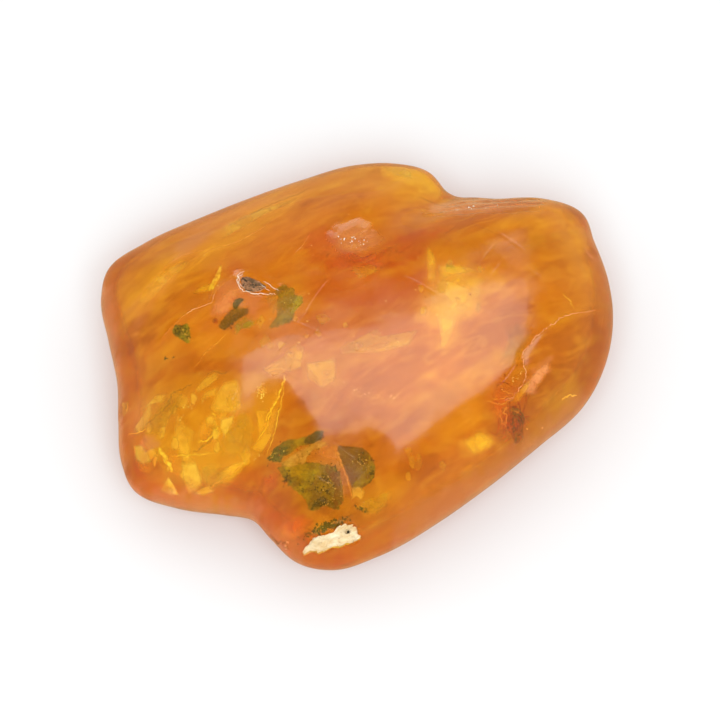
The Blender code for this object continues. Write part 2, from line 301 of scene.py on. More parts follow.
def ring_through(points, angle):
    """Points on a closed smooth curve through an outline, at angles that go once round it."""
    ring = np.array(points, float)
    i, t = ring_place(len(ring), angle)
    return cubic(ring[i - 1], ring[i], ring[(i + 1) % len(ring)], ring[(i + 2) % len(ring)], t)

def along_and_across(x, y, middle_x, middle_y, turn):
    """Distances from a middle, along and across a direction turned by degrees."""
    c, s = math.cos(math.radians(turn)), math.sin(math.radians(turn))
    return (x - middle_x) * c + (y - middle_y) * s, (y - middle_y) * c - (x - middle_x) * s

print("shares on a disc of 5 by 5:", np.unique(disc(5)[0]))

# %% [markdown]
# ## The form of the nugget
#
# On the real stone the form comes from a broken lump that was ground on several sides and then
# tumbled, so it has broad facets with rounded ridges. One could sculpt it, but the facets are
# easy to state: each is a plane that falls away from an edge, and a soft minimum of all the
# planes rounds the ridges between them. The plan is a smooth periodic curve, and the sides roll
# off to a rim. The numbers are those of the solids, so that the skin fits them.

# %% Form of the nugget, in millimetres
CROWN = 15.7
RIM = 6.3
RIM_LEAN = 0.6
RIM_WAVE = 0.5
FACET_ROUNDING = 1.6
TOP_SQUARENESS = 3.4
BASE_SHARE = 0.5
BASE_POWER = 2.5
PARTING_DEPTH = 2.0
PARTING_PULL = 1.10
PARTING_FALL = 0.95

OUTLINE = (
    (23.5, 0.0), (24.1, 4.3), (23.8, 8.0), (22.6, 12.5), (21.6, 15.5), (18.6, 16.8), (14.2, 16.9),
    (11.5, 17.5), (9.9, 17.8), (8.8, 18.4), (7.2, 20.4), (3.6, 21.6), (-0.1, 21.4), (-5.3, 19.5),
    (-10.9, 17.0), (-15.8, 14.6), (-20.5, 12.0), (-23.5, 9.5), (-24.1, 6.4), (-23.3, 2.0),
    (-22.3, -2.9), (-22.1, -7.0), (-21.7, -11.0), (-20.6, -13.5), (-17.1, -15.0), (-12.7, -15.7),
    (-9.7, -16.4), (-7.9, -18.5), (-5.7, -20.8), (-2.1, -21.7), (1.9, -20.4), (7.7, -16.9),
    (12.7, -13.0), (17.7, -8.5), (21.5, -4.6))
FACETS = (      # a point on the upper edge, the fall in mm per mm, and its direction in degrees
    (-1.4, -1.4, 0.14, 98.0),
    (-5.6, -5.0, 0.17, 138.0),
    (-8.1, -8.8, 0.34, 225.0),
    (11.4, -8.5, 0.34, -37.0),
    (-3.1, -10.0, 0.30, -90.0),
    (20.9, 4.0, 0.30, 8.0),
)
SWELLS = (      # height, middle x and y, half length, half width, turn in degrees
    (-2.3, 8.1, 16.0, 6.5, 2.4, 44.0),
    (-1.3, 1.9, 19.0, 6.0, 4.0, 0.0),
    (-0.35, -0.1, 9.2, 3.0, 2.4, 0.0),
    (1.9, 5.4, -16.5, 4.0, 5.5, 0.0),
    (-1.1, -9.1, -13.0, 6.0, 2.3, 68.0),
    (0.5, 16.9, 11.5, 5.0, 4.0, 0.0),
)

def plan_radius(angle):
    """Radius of the outline: a periodic cubic through its points in polar form."""
    points = np.array(OUTLINE)
    knot = np.arctan2(points[:, 1], points[:, 0]) % math.tau
    radius = np.hypot(points[:, 0], points[:, 1])
    order = np.argsort(knot)
    knot, radius = knot[order], radius[order]
    knot = np.concatenate([knot[-2:] - math.tau, knot, knot[:2] + math.tau])
    radius = np.concatenate([radius[-2:], radius, radius[:2]])
    step = np.diff(knot)
    rise = np.diff(radius) / step
    slope = np.zeros_like(radius)
    slope[1:-1] = (rise[:-1] * step[1:] + rise[1:] * step[:-1]) / (step[1:] + step[:-1])
    angle = np.asarray(angle) % math.tau
    i = np.clip(np.searchsorted(knot, angle, side="right") - 1, 0, len(knot) - 2)
    h = step[i]
    t = (angle - knot[i]) / h
    blend = (1 + 2 * t) * (1 - t) ** 2 * radius[i] + t * t * (3 - 2 * t) * radius[i + 1]
    return blend + t * (1 - t) ** 2 * h * slope[i] + t * t * (t - 1) * h * slope[i + 1]

def rim_height(angle):
    """Height of the widest line: its mean plus one slow and one double wave round the side."""
    lean = RIM_LEAN * np.cos(angle + math.radians(60))
    return RIM + lean - RIM_WAVE * np.cos(2 * (angle - math.radians(65)))

def swell(x, y, middle_x, middle_y, length, width, turn):
    """A bell hump: exp(-(u^2 + v^2)) with u along its length and v along its width."""
    along, across = along_and_across(x, y, middle_x, middle_y, turn)
    u, v = along / length, across / width
    return np.exp(-(u * u + v * v))

def crown_height(x, y):
    """Soft minimum of the facet planes, plus the swellings."""
    total = np.exp(-FACET_ROUNDING * CROWN) * np.ones_like(x)
    for edge_x, edge_y, fall, turn in FACETS:
        along, _ = along_and_across(x, y, edge_x, edge_y, turn)
        total = total + np.exp(-FACET_ROUNDING * (CROWN - fall * along))
    height = -np.log(total) / FACET_ROUNDING
    for amount, *place in SWELLS:
        height = height + amount * swell(x, y, *place)
    return height

def share_and_angle(x, y):
    """Polar place in the plan."""
    angle = np.arctan2(y, x)
    return np.hypot(x, y) / plan_radius(angle), angle

def outer_height(x, y):
    """Upper surface: rim + (crown - rim) * sqrt(1 - share^TOP_SQUARENESS)."""
    share, angle = share_and_angle(x, y)
    rim = rim_height(angle)
    return rim + (crown_height(x, y) - rim) * np.sqrt(np.clip(1 - share ** TOP_SQUARENESS, 0, 1))

def parting_height(x, y):
    """The surface on which the sealed scraps lie: the crown sunk by 2 mm and drawn inwards."""
    share, angle = share_and_angle(x, y)
    rim = rim_height(angle)
    drawn = np.minimum(PARTING_PULL * share, 1) ** TOP_SQUARENESS
    return rim + (crown_height(x, y) - PARTING_DEPTH - rim) * np.sqrt(1 - PARTING_FALL * drawn)

print("height over the middle in mm:", round(float(outer_height(0.0, 0.0)), 2))

# %% [markdown]
# ## The polished skin and its blemishes
#
# The tumbler didn't reach every hollow. One dip kept its rough, scratched skin, a strip at the
# upper right kept folds of weathered rind, one chip opened over a bark sliver, low on the front
# a pocket is filled with crust, and a crack runs in from the right edge. These are real relief,
# so they are added to the height. Elsewhere a very shallow waviness breaks up the reflections,
# as hand grinding does.
#
# The colour zones follow what one sees through the skin, except the pale bands along the rim,
# which are painted sheen for the table mirrored at the edge. A texture could paint them, but
# outlines in the plan with soft, torn edges stay sharp at any distance. They are stored as
# attributes on the mesh, so that the material can read them.

# %% Blemishes and colour zones
PIT = (-0.1, 9.0, 2.5, 2.3, 0.0)
RIND = (12.3, 13.5, 5.4, 1.7, 4.0)
NICK = (22.2, 9.6, 0.8, 0.7, 60.0)
CHIP = (
    (-10.94, 5.14), (-10.47, 5.16), (-9.7, 4.65), (-8.74, 3.95), (-7.98, 3.65), (-7.22, 2.76),
    (-7.5, 2.31), (-8.63, 2.4), (-9.67, 2.61), (-10.62, 3.17), (-10.97, 4.04))
CHIP_DEPTH = 0.62
PIT_DEPTH = 0.16
RIND_DEPTH = 0.30
RIND_FOLD = 0.26
NICK_DEPTH = 0.35
BROAD_WAVE = 0.018
FINE_WAVE = 0.0022
CRUST = (
    (-5.05, -21.0), (-4.49, -20.67), (-3.86, -20.25), (-3.07, -20.19), (-2.13, -19.99), (-1.66, -19.58),
    (-0.87, -19.38), (0.1, -19.49), (0.3, -20.03), (0.55, -20.14), (-0.09, -20.49), (-0.72, -20.66),
    (-1.5, -20.92), (-2.13, -20.94), (-3.08, -21.2), (-3.55, -21.26), (-4.18, -21.05), (-4.66, -21.12))
CRUST_POCKET = 0.75
SOFT_FORMS = (      # height in mm, middle x and y, half length, half width, turn
    (-0.45, 0.3, -14.8, 3.9, 2.8, 0.0),
    (0.60, -6.4, -9.4, 2.4, 3.0, 0.0),
)
CRACK = (
    (23.0, 3.2), (21.4, 2.2), (20.1, 1.5), (18.9, 0.6), (17.8, -0.5), (16.7, -1.6), (15.8, -2.9),
    (15.2, -3.8), (15.3, -4.7), (15.5, -5.8), (14.7, -7.0), (14.2, -7.6), (13.5, -8.05))
SEAM = (
    (-11.6, 4.6), (-12.5, 3.8), (-13.1, 3.0), (-13.5, 2.0), (-15.0, 1.55), (-15.8, 1.1), (-16.9, 0.2),
    (-17.8, -0.7), (-18.1, -1.3))
CREASES = (      # depth of the crease in mm, its width, and its path
    (0.1, 0.22, CRACK),
    (0.06, 0.25, SEAM),
    (0.05, 0.25, ((-7.7, -18.7), (-7.0, -19.4), (-6.4, -20.0), (-5.9, -20.4))),
    (0.05, 0.22, ((-8.5, -12.5), (-9.4, -12.9), (-10.6, -13.7), (-11.9, -14.4), (-13.4, -14.9))),
)

ZONES = {      # kind: (strength, softness of the edge in mm, outline)
    "golden": (
        (0.62, 0.25, (
            (-20.8, -5.5), (-18.4, -5.8), (-16.5, -5.2), (-13.6, -5.5), (-10.5, -6.1), (-6.8, -6.9),
            (-6.8, -9.4), (-7.6, -11.5), (-8.6, -12.8), (-11.5, -14.0), (-13.4, -14.8), (-14.9, -14.9),
            (-18.1, -14.2), (-20.2, -12.7), (-21.2, -8.1))),
        (0.9, 0.45, (
            (6.7, 7.1), (7.5, 5.4), (10.4, 5.5), (12.9, 4.7), (13.8, 3.4), (11.9, 1.7), (11.2, -0.3),
            (9.6, -1.1), (9.0, -3.3), (8.0, -4.7), (7.4, -3.7), (7.7, -1.9), (5.2, -1.2), (5.9, 0.7),
            (4.0, 1.1), (5.9, 2.7), (6.4, 4.6))),
        (1.0, 0.4, (
            (2.5, 19.7), (5.1, 19.9), (7.2, 19.4), (8.2, 18.4), (8.1, 17.3), (6.0, 16.7), (4.1, 17.2),
            (2.5, 18.4))),
        (0.35, 0.9, (
            (16.7, 13.5), (19.6, 13.7), (21.1, 11.8), (21.8, 8.9), (22.9, 5.9), (23.1, 3.2),
            (21.2, 2.3), (19.9, 4.3), (19.4, 8.1), (17.5, 10.4))),
        (0.45, 0.5, (
            (-22.1, 5.3), (-20.0, 7.2), (-16.9, 9.6), (-14.3, 10.8), (-12.1, 12.2), (-8.2, 14.1),
            (-5.0, 15.5), (-5.6, 13.3), (-9.4, 10.4), (-12.6, 8.1), (-15.8, 7.7), (-18.4, 5.7),
            (-20.6, 3.9), (-22.2, 2.9))),
        (1.0, 0.2, ((-13.7, 3.8), (-12.4, 6.1), (-12.0, 7.1), (-12.3, 4.4), (-13.2, 3.2))),
        (0.85, 0.35, ((9.5, -12.0), (12.0, -10.7), (13.0, -11.4), (10.8, -12.8), (9.5, -13.0))),
        (0.45, 0.45, (
            (-0.5, -16.6), (3.3, -15.8), (5.7, -15.7), (3.9, -17.7), (1.4, -18.8), (0.2, -18.5))),
        (0.45, 0.5, (
            (-15.6, -1.9), (-13.4, -0.9), (-10.2, -2.1), (-6.7, -3.1), (-4.8, -2.5), (-6.7, -4.6),
            (-10.5, -5.0), (-14.0, -4.1))),
        (0.15, 0.6, ((9.2, 8.8), (13.7, 11.1), (16.9, 11.9), (18.1, 9.3), (15.2, 7.1), (12.0, 6.8))),
        (0.5, 0.25, (
            (-5.5, -4.3), (-1.7, -4.8), (4.0, -3.4), (7.1, -2.6), (3.3, -4.9), (-0.4, -6.3),
            (-1.7, -8.0), (-4.8, -8.0))),
    ),
    "ruddy": (
        (1.0, 0.45, (
            (-4.3, 9.6), (-2.7, 10.5), (-0.8, 6.9), (1.8, 6.8), (4.0, 9.0), (6.0, 9.9), (8.2, 9.8),
            (6.6, 7.5), (5.9, 5.9), (4.0, 4.7), (0.8, 4.7), (-2.4, 4.9), (-4.3, 5.8), (-4.9, 7.5))),
        (0.5, 0.4, (
            (-4.3, 4.9), (0.8, 5.1), (2.7, 3.9), (6.5, 4.6), (5.9, 1.1), (2.4, 0.8), (-0.8, 0.4),
            (-3.0, 1.3), (-4.3, 2.9))),
        (0.7, 0.25, (
            (-12.0, 8.2), (-10.2, 5.6), (-11.9, 4.7), (-12.9, 3.7), (-13.8, 4.0), (-12.6, 6.5))),
        (0.75, 0.4, (
            (-13.2, -15.1), (-10.8, -14.4), (-8.9, -13.4), (-7.5, -14.2), (-6.3, -16.2), (-5.4, -17.5),
            (-4.2, -19.2), (-5.7, -19.8), (-7.9, -18.6), (-9.8, -16.6), (-12.7, -15.8))),
        (0.8, 0.6, (
            (-7.6, -19.0), (-5.4, -20.6), (-4.2, -21.2), (0.7, -21.4), (3.4, -19.6), (3.6, -21.0),
            (-2.0, -22.0), (-6.0, -21.0))),
        (0.7, 0.6, (
            (12.6, -6.4), (14.2, -5.6), (15.4, -7.2), (15.6, -9.6), (14.2, -11.2), (12.8, -10.4),
            (12.0, -8.4))),
        (0.6, 0.5, ((-21.3, -12.4), (-19.2, -11.6), (-17.9, -12.8), (-18.3, -14.6), (-20.6, -14.6))),
    ),
    "deep": (
        (0.8, 0.5, (
            (-21.8, 2.4), (-19.0, 5.3), (-16.5, 7.1), (-14.2, 8.1), (-12.0, 8.2), (-12.9, 6.1),
            (-15.7, 4.1), (-18.2, 1.0), (-19.1, -1.2), (-21.1, -1.4), (-22.1, 0.6))),
        (0.7, 0.6, (
            (10.2, -3.2), (13.4, -0.1), (16.0, 2.1), (16.6, -0.3), (14.3, -2.7), (12.7, -5.5),
            (11.1, -7.5), (9.6, -5.9))),
        (0.55, 0.3, (
            (15.6, -3.1), (17.5, -0.7), (19.8, 1.0), (22.5, 2.6), (23.6, 0.4), (21.4, -4.2),
            (18.8, -7.2), (16.2, -8.2), (14.6, -7.2), (15.3, -5.0))),
        (0.7, 0.5, ((3.3, -15.0), (7.0, -13.4), (8.2, -14.0), (5.7, -16.1), (3.6, -16.2))),
        (0.75, 0.9, ((10.6, 16.7), (15.4, 14.1), (17.8, 10.9), (16.8, 9.0), (13.0, 8.5), (9.2, 9.7))),
        (1.0, 1.0, ((1.0, -13.0), (6.0, -12.0), (11.0, -8.0), (9.0, -7.0), (4.0, -10.8), (0.6, -11.2))),
        (0.5, 0.6, (
            (-8.2, -9.0), (-5.0, -10.4), (-1.0, -11.2), (-1.8, -13.2), (-6.0, -11.0), (-8.6, -12.2))),
    ),
    # Pale: inside the outline these are pale, cloudy parts of the skin. The narrow bands along the rim (left
    # side, lobe, notch and lower right) are painted sheen in place of the table mirrored at the edge. The
    # pale zone also raises the coat, which adds real reflection.
    "pale": (
        (0.95, 0.5, (
            (6.9, 14.9), (10.6, 15.3), (15.0, 15.0), (17.6, 14.8), (17.2, 13.6), (12.6, 12.3),
            (9.2, 12.2), (7.2, 13.4))),
        (0.85, 0.25, (
            (-12.9, 3.3), (-11.6, 4.6), (-10.9, 4.2), (-10.6, 3.3), (-9.7, 2.8), (-8.7, 2.4),
            (-8.8, 1.5), (-9.1, 0.2), (-9.9, -0.2), (-10.0, 1.2), (-11.1, 1.3), (-11.9, 0.5),
            (-12.8, 0.2), (-13.4, 1.2))),
        (0.9, 0.25, (
            (15.3, -7.0), (16.0, -6.9), (17.6, -4.6), (17.9, -3.4), (16.9, -4.2), (15.7, -5.8))),
        (0.4, 0.6, (
            (-21.5, 3.3), (-18.7, 5.2), (-16.8, 6.8), (-17.1, 5.2), (-18.9, 2.6), (-20.5, 0.4))),
        (0.2, 0.6, ((-2.2, 10.6), (0.4, 11.4), (2.0, 9.6), (1.6, 7.4), (-0.6, 7.0), (-2.4, 8.6))),
        (0.9, 0.25, (
            (-20.0, -10.5), (-19.2, -10.1), (-18.4, -10.5), (-18.2, -11.3), (-18.9, -11.7),
            (-19.7, -11.1))),
        (0.5, 0.45, (
            (3.0, -20.2), (8.0, -17.2), (13.0, -13.2), (18.0, -8.8), (21.5, -5.0), (20.6, -4.8),
            (17.4, -8.4), (12.8, -12.3), (7.6, -16.1), (3.5, -18.8))),
        (0.45, 0.35, (
            (-17.0, 9.4), (-15.3, 11.6), (-13.9, 13.0), (-13.2, 12.2), (-14.0, 10.0), (-15.5, 8.3),
            (-17.1, 7.3))),
        (0.7, 0.5, (
            (-24.3, 7.5), (-23.0, 6.6), (-22.5, 3.0), (-22.0, -1.5), (-21.6, -5.0), (-21.8, -6.2),
            (-22.6, -6.0), (-23.0, -2.0), (-24.2, 2.0))),
        (0.7, 0.35, (
            (-22.4, -6.5), (-21.7, -7.0), (-21.5, -9.5), (-21.0, -11.6), (-21.3, -12.8),
            (-22.2, -11.0))),
        (0.75, 0.35, (
            (-21.3, -12.6), (-19.4, -14.3), (-16.0, -14.9), (-12.5, -15.4), (-9.5, -15.8),
            (-8.2, -17.2), (-9.6, -16.9), (-12.7, -16.0), (-17.2, -15.4), (-20.8, -14.2))),
        (0.4, 0.4, (
            (-8.4, -17.4), (-7.2, -18.6), (-5.2, -20.0), (-4.0, -21.2), (-5.6, -21.4), (-8.4, -19.0))),
        (0.35, 0.8, ((-21.2, -7.0), (-19.0, -6.2), (-18.4, -8.0), (-19.0, -9.8), (-20.8, -9.8))),
        (0.25, 1.2, (
            (-14.0, 6.0), (-8.0, 11.0), (-2.0, 14.0), (-1.0, 11.0), (-6.0, 8.0), (-10.0, 5.4))),
        (0.35, 0.8, ((-16.6, 9.4), (-9.0, 13.4), (-4.4, 15.8), (-9.4, 15.2), (-16.0, 12.2))),
    ),
}

def near_path(x, y, path):
    """Distance of each point from a path of straight stretches."""
    nearest = np.full_like(x, 1e9)
    for (ax, ay), (bx, by) in zip(path[:-1], path[1:]):
        dx, dy = bx - ax, by - ay
        t = np.clip(((x - ax) * dx + (y - ay) * dy) / (dx * dx + dy * dy), 0, 1)
        nearest = np.minimum(nearest, np.hypot(x - ax - t * dx, y - ay - t * dy))
    return nearest

def patch(x, y, outline, soft):
    """1 inside a closed outline and 0 outside, by the distance to its nearest edge."""
    ring = (*outline, outline[0])
    inside = np.zeros(x.shape, bool)
    for (ax, ay), (bx, by) in zip(ring[:-1], ring[1:]):
        crosses = (ay > y) != (by > y)
        inside ^= crosses & (x < (bx - ax) * (y - ay) / ((by - ay) or 1.0) + ax)
    nearest = near_path(x, y, ring)
    torn = 0.16 * ripple(x, y, 0.0, 1.3, 5) + 0.10 * ripple(x, y, 0.0, 0.6, 6)
    return soft_step(-soft, soft, np.where(inside, nearest, -nearest) + torn)

def oval(x, y, middle_x, middle_y, length, width, turn, power=2.0):
    """How far out a point lies in a turned oval: 0 in the middle, 1 on its edge."""
    along, across = along_and_across(x, y, middle_x, middle_y, turn)
    return (abs(along / length) ** power + abs(across / width) ** power) ** (1 / power)

def zone(x, y, patches):
    """The strongest of several patches at each point."""
    best = np.zeros_like(x)
    for strength, soft, outline in patches:
        best = np.maximum(best, strength * patch(x, y, outline, soft))
    return best

def blemish_relief(x, y):
    """Height added by pit, rind folds, chip, pocket, nick, soft forms, creases and waves."""
    in_pit = 1 - soft_step(0.65, 1.0, oval(x, y, *PIT) + 0.12 * ripple(x, y, 0.0, 1.6, 11))
    pit = in_pit * (-PIT_DEPTH + 0.05 * ripple(x, y, 0.0, 0.9, 12))
    in_rind = 1 - soft_step(0.7, 1.15, oval(x, y, *RIND, 2.6) + 0.1 * ripple(x, y, 0.0, 2.0, 13))
    across = (y - RIND[1]) - 0.10 * (x - RIND[0]) + 0.35 * np.sin(0.55 * x)
    folds = np.abs(np.sin(across * 2.6 + 0.3 * ripple(x, y, 0.0, 3.0, 14))) ** 0.6
    rind = in_rind * (-RIND_DEPTH + RIND_FOLD * folds + 0.03 * ripple(x, y, 0.0, 0.8, 15))
    chip = -CHIP_DEPTH * patch(x, y, CHIP, 0.22)
    pocket = -CRUST_POCKET * patch(x, y, CRUST, 0.22)
    nick = -NICK_DEPTH * np.clip(1 - oval(x, y, *NICK) ** 2, 0, 1)
    hollow = sum(amount * swell(x, y, *place) for amount, *place in SOFT_FORMS)
    creases = 0.0
    for depth, width, path in CREASES:
        creases = creases - depth * np.exp(-(near_path(x, y, path) / width) ** 2)
    wave = BROAD_WAVE * ripple(x, y, 0.0, 7.0, 16) + FINE_WAVE * ripple(x, y, 0.0, 2.2, 17)
    return pit + rind + chip + pocket + nick + hollow + creases + wave, in_pit, in_rind

print("patches of each colour:", {kind: len(patches) for kind, patches in ZONES.items()})

# %% [markdown]
# ## The skin as one mesh
#
# Form, blemishes and zones meet in one closed skin, because on the real stone the polish is one
# unbroken surface. Separate patches would show their joins in the gloss. The rings of the grid
# lie closer together towards the rim, where the side turns down fastest.

# %% Skin of the clear body
SKIN_GRID = 211

def amber_sheets():
    """Upper and lower sheet: share s = sin(90 t) of the plan radius, and the height of the form."""
    t, angle = disc(SKIN_GRID)
    share = np.sin(t * math.pi / 2)
    radius = share * plan_radius(angle)
    x, y = radius * np.cos(angle), radius * np.sin(angle)
    relief, in_pit, in_rind = blemish_relief(x, y)
    room = soft_step(0.0, 0.1, 1 - share)
    top = outer_height(x, y) + relief * room
    out = np.clip((share - BASE_SHARE) / (1 - BASE_SHARE), 0, 1)
    base = rim_height(angle) * (1 - np.sqrt(1 - out ** BASE_POWER))
    top = np.where(share > 1 - 1e-9, base, top)
    marks = {kind: zone(x, y, patches) for kind, patches in ZONES.items()}
    marks["rough"] = np.maximum(in_pit, 0.8 * in_rind)
    return np.stack([x, y, top], -1), np.stack([x, y, base], -1), marks

upper_sheet, lower_sheet, zones = amber_sheets()
print("highest point of the skin in mm:", round(float(upper_sheet[..., 2].max()), 2))

# %% [markdown]
# ## Finishes that repeat
#
# Several pieces share the same kinds of unevenness: soft mottling, small dark grains, and the
# fine scratches of handling. Each is a node group that gives out a mask or a height, so that
# every material can use it with its own sizes. The shader itself stays in each material.

# %% Shared effects
def new_group(name, takes, gives):
    """An empty group: its tree, the sockets of what it takes, and its end; gives is one label."""
    tree = bpy.data.node_groups.new(name, 'ShaderNodeTree')
    for label, value in takes.items():
        kind = 'NodeSocketVector' if isinstance(value, tuple) else 'NodeSocketFloat'
        socket = tree.interface.new_socket(label, in_out='INPUT', socket_type=kind)
        socket.default_value = value
    tree.interface.new_socket(gives, in_out='OUTPUT', socket_type='NodeSocketFloat')
    return tree, tree.nodes.new("NodeGroupInput").outputs, tree.nodes.new("NodeGroupOutput")

def use_group(tree, group, where, **values):
    """Place a group in a material at a position, and give back its one output."""
    node = add(tree, "ShaderNodeGroup", node_tree=group)
    return feed(tree, node, {"Where": where, **values}).outputs[0]

def build_mottle():
    """Soft clouds: a noise of a given size, spread between 0 and 1 around its middle."""
    tree, given, result = new_group("soft_mottle", {"Where": (0.0, 0.0, 0.0), "Scale": 300.0,
                                    "Detail": 5.0, "Warp": 0.5, "Contrast": 1.0}, "Value")
    noise = add(tree, "ShaderNodeTexNoise")
    feed(tree, noise, {"Vector": given["Where"], "Scale": given["Scale"],
                       "Detail": given["Detail"], "Distortion": given["Warp"]})
    centred = maths(tree, 'SUBTRACT', noise.outputs["Fac"], 0.5)
    spread = times(tree, times(tree, centred, given["Contrast"]), 2.5)
    feed(tree, result, {"Value": maths(tree, 'ADD', spread, 0.5, True)})
    return tree

def build_grains():
    """Small dark grains: points of a Voronoi pattern, kept only where a noise allows them."""
    tree, given, result = new_group("dark_grains", {"Where": (0.0, 0.0, 0.0), "Scale": 3000.0,
                                    "Grain": 0.3, "Cover": 0.5}, "Mask")
    cells = add(tree, "ShaderNodeTexVoronoi", feature='F1')
    feed(tree, cells, {"Vector": given["Where"], "Scale": given["Scale"]})
    near = maths(tree, 'LESS_THAN', cells.outputs["Distance"], given["Grain"])
    patchy = add(tree, "ShaderNodeTexNoise")
    feed(tree, patchy, {"Vector": given["Where"], "Scale": times(tree, given["Scale"], 0.3)})
    kept = maths(tree, 'LESS_THAN', patchy.outputs["Fac"], given["Cover"])
    feed(tree, result, {"Mask": times(tree, near, kept)})
    return tree

def scratches(tree, given, turn):
    """Depth of long thin scratches in one direction: a squeezed noise, cut off low."""
    turned = add(tree, "ShaderNodeVectorRotate", rotation_type='Z_AXIS')
    feed(tree, turned, {"Vector": given["Where"], "Angle": turn})
    sides = feed(tree, add(tree, "ShaderNodeCombineXYZ"), {0: given["Stretch"], 1: 1.0, 2: 1.0})
    squeezed = add(tree, "ShaderNodeVectorMath", operation='MULTIPLY')
    feed(tree, squeezed, {0: turned.outputs[0], 1: sides.outputs[0]})
    lines = add(tree, "ShaderNodeTexNoise")
    feed(tree, lines, {"Vector": squeezed.outputs[0], "Scale": given["Scale"], "Detail": 1.0})
    return span(tree, lines.outputs["Fac"], 0.68, 0.74, 0.0, -1.0)

def build_wear():
    """Fine handling wear: long thin scratches in two directions plus small pits, as a height."""
    tree, given, result = new_group("handling_wear", {"Where": (0.0, 0.0, 0.0), "Scale": 900.0,
                                    "Stretch": 0.06}, "Height")
    total = maths(tree, 'ADD', scratches(tree, given, 0.6), scratches(tree, given, 2.1))
    dots = add(tree, "ShaderNodeTexVoronoi", feature='F1')
    feed(tree, dots, {"Vector": given["Where"], "Scale": times(tree, given["Scale"], 1.3)})
    rare = feed(tree, add(tree, "ShaderNodeSeparateColor"), {0: dots.outputs["Color"]})
    chosen = maths(tree, 'GREATER_THAN', rare.outputs[0], 0.86)
    pits = times(tree, span(tree, dots.outputs["Distance"], 0.05, 0.16, -1.5, 0.0), chosen)
    feed(tree, result, {"Height": maths(tree, 'ADD', total, pits)})
    return tree

MOTTLE = build_mottle()
GRAINS = build_grains()
WEAR = build_wear()
print("shared effects:", MOTTLE.name, GRAINS.name, WEAR.name)

# %% [markdown]
# ## Clear amber
#
# Amber is see-through, but never evenly: flow bands, clouds of tiny bubbles and red oxidised
# zones tint it. One could paint all of this on an opaque shader, but then nothing would show
# inside. Here the shader is almost all transmission with a refractive index of 1.54, and the
# volume absorbs blue strongly and green somewhat, which is what makes thick amber deeper in
# colour than thin. The zones tint the base colour, and a small diffuse share stands for the
# cloudiness. For shadow rays and scattered light the skin steps aside, so that lamps reach the
# inclusions and the table below.

# %% Colour and wear of the amber
HONEY = (0.70, 0.38, 0.014)
GOLD = (0.93, 0.74, 0.035)
RED_BROWN = (0.60, 0.19, 0.022)
DEEP = (0.50, 0.24, 0.010)
HAZE_AND_RIM_SHEEN = (0.90, 0.55, 0.25)
FLOW_TURN = 33.0
FLOW_STRETCH = (2.7, 1.0, 1.25)
POLISH = (0.17, 0.25)
ROUGHER = 0.33
WEAR_DEPTH = 0.00003

def more(tree, amount, pattern, low, high, most):
    """An amount plus up to most where a pattern goes from low to high, kept within 0 and 1."""
    return maths(tree, 'ADD', amount, span(tree, pattern, low, high, 0.0, most), True)

def amber_colour(tree, place, marks):
    """The zones' colours one over another, broken up by clouds and by bands along the flow."""
    turned = stretched(tree, place, FLOW_TURN, FLOW_STRETCH)
    bands = use_group(tree, MOTTLE, turned, Scale=260.0, Detail=4.0, Warp=0.8, Contrast=1.3)
    clouds = use_group(tree, MOTTLE, place, Scale=170.0, Detail=6.0, Warp=1.2, Contrast=1.1)
    streaks = use_group(tree, MOTTLE, turned, Scale=600.0, Detail=7.0, Warp=1.5, Contrast=1.4)
    uneven = maths(tree, 'ADD', times(tree, streaks, 0.5), times(tree, clouds, 0.5))
    golden = times(tree, marks["golden"], span(tree, uneven, 0.15, 0.6, 0.65, 1.0))
    golden = more(tree, golden, bands, 0.55, 0.95, 0.40)
    golden = more(tree, golden, streaks, 0.55, 0.95, 0.30)
    ruddy = times(tree, marks["ruddy"], span(tree, uneven, 0.8, 0.25, 0.65, 1.0))
    deep = times(tree, marks["deep"], span(tree, uneven, 0.8, 0.25, 0.6, 1.0))
    deep = more(tree, deep, bands, 0.42, 0.05, 0.5)
    deep = more(tree, deep, streaks, 0.5, 0.1, 0.30)
    plates = add(tree, "ShaderNodeTexVoronoi", feature='F1')
    feed(tree, plates, {"Vector": turned, "Scale": 420.0})
    facet = feed(tree, add(tree, "ShaderNodeSeparateColor"), {0: plates.outputs["Color"]})
    tiles = times(tree, span(tree, facet.outputs[0], 0.45, 0.55), times(tree, marks["golden"], 0.35))
    colour = blend(tree, deep, HONEY, DEEP)
    colour = blend(tree, golden, colour, GOLD)
    colour = blend(tree, ruddy, colour, RED_BROWN)
    colour = blend(tree, tiles, colour, HONEY)
    # The pale zones whiten the colour: cloudy skin inside, and along the rim a painted sheen in place of the
    # table's reflection.
    return blend(tree, times(tree, marks["pale"], 0.7), colour, HAZE_AND_RIM_SHEEN)

def amber_wear(tree, place, marks):
    """Roughness and slope of the skin: smears, handling wear, and crumbs where it is rough."""
    smear = use_group(tree, MOTTLE, place, Scale=500.0, Detail=3.0, Warp=0.3, Contrast=1.0)
    gloss = maths(tree, 'ADD', span(tree, smear, 0.2, 0.9, *POLISH), times(tree, marks["rough"], ROUGHER))
    wear = use_group(tree, WEAR, place, Scale=900.0, Stretch=0.06)
    crumbly = use_group(tree, MOTTLE, place, Scale=2600.0, Detail=6.0, Warp=0.6, Contrast=1.4)
    coarse = times(tree, times(tree, crumbly, marks["rough"]), 6.0)
    bump = add(tree, "ShaderNodeBump")
    feed(tree, bump, {"Strength": 0.35, "Distance": WEAR_DEPTH,
                      "Height": maths(tree, 'ADD', wear, coarse)})
    return gloss, bump.outputs[0]

print("colour and wear of the amber are ready")

# %% [markdown]
# ## Light inside the amber
#
# One material brings it together. The volume takes away more blue the longer the way through the
# stone is. Where lamp light is counted, a plain see-through shader stands in for the skin. It
# tints the light that falls through onto the table more strongly than the light on the scraps.

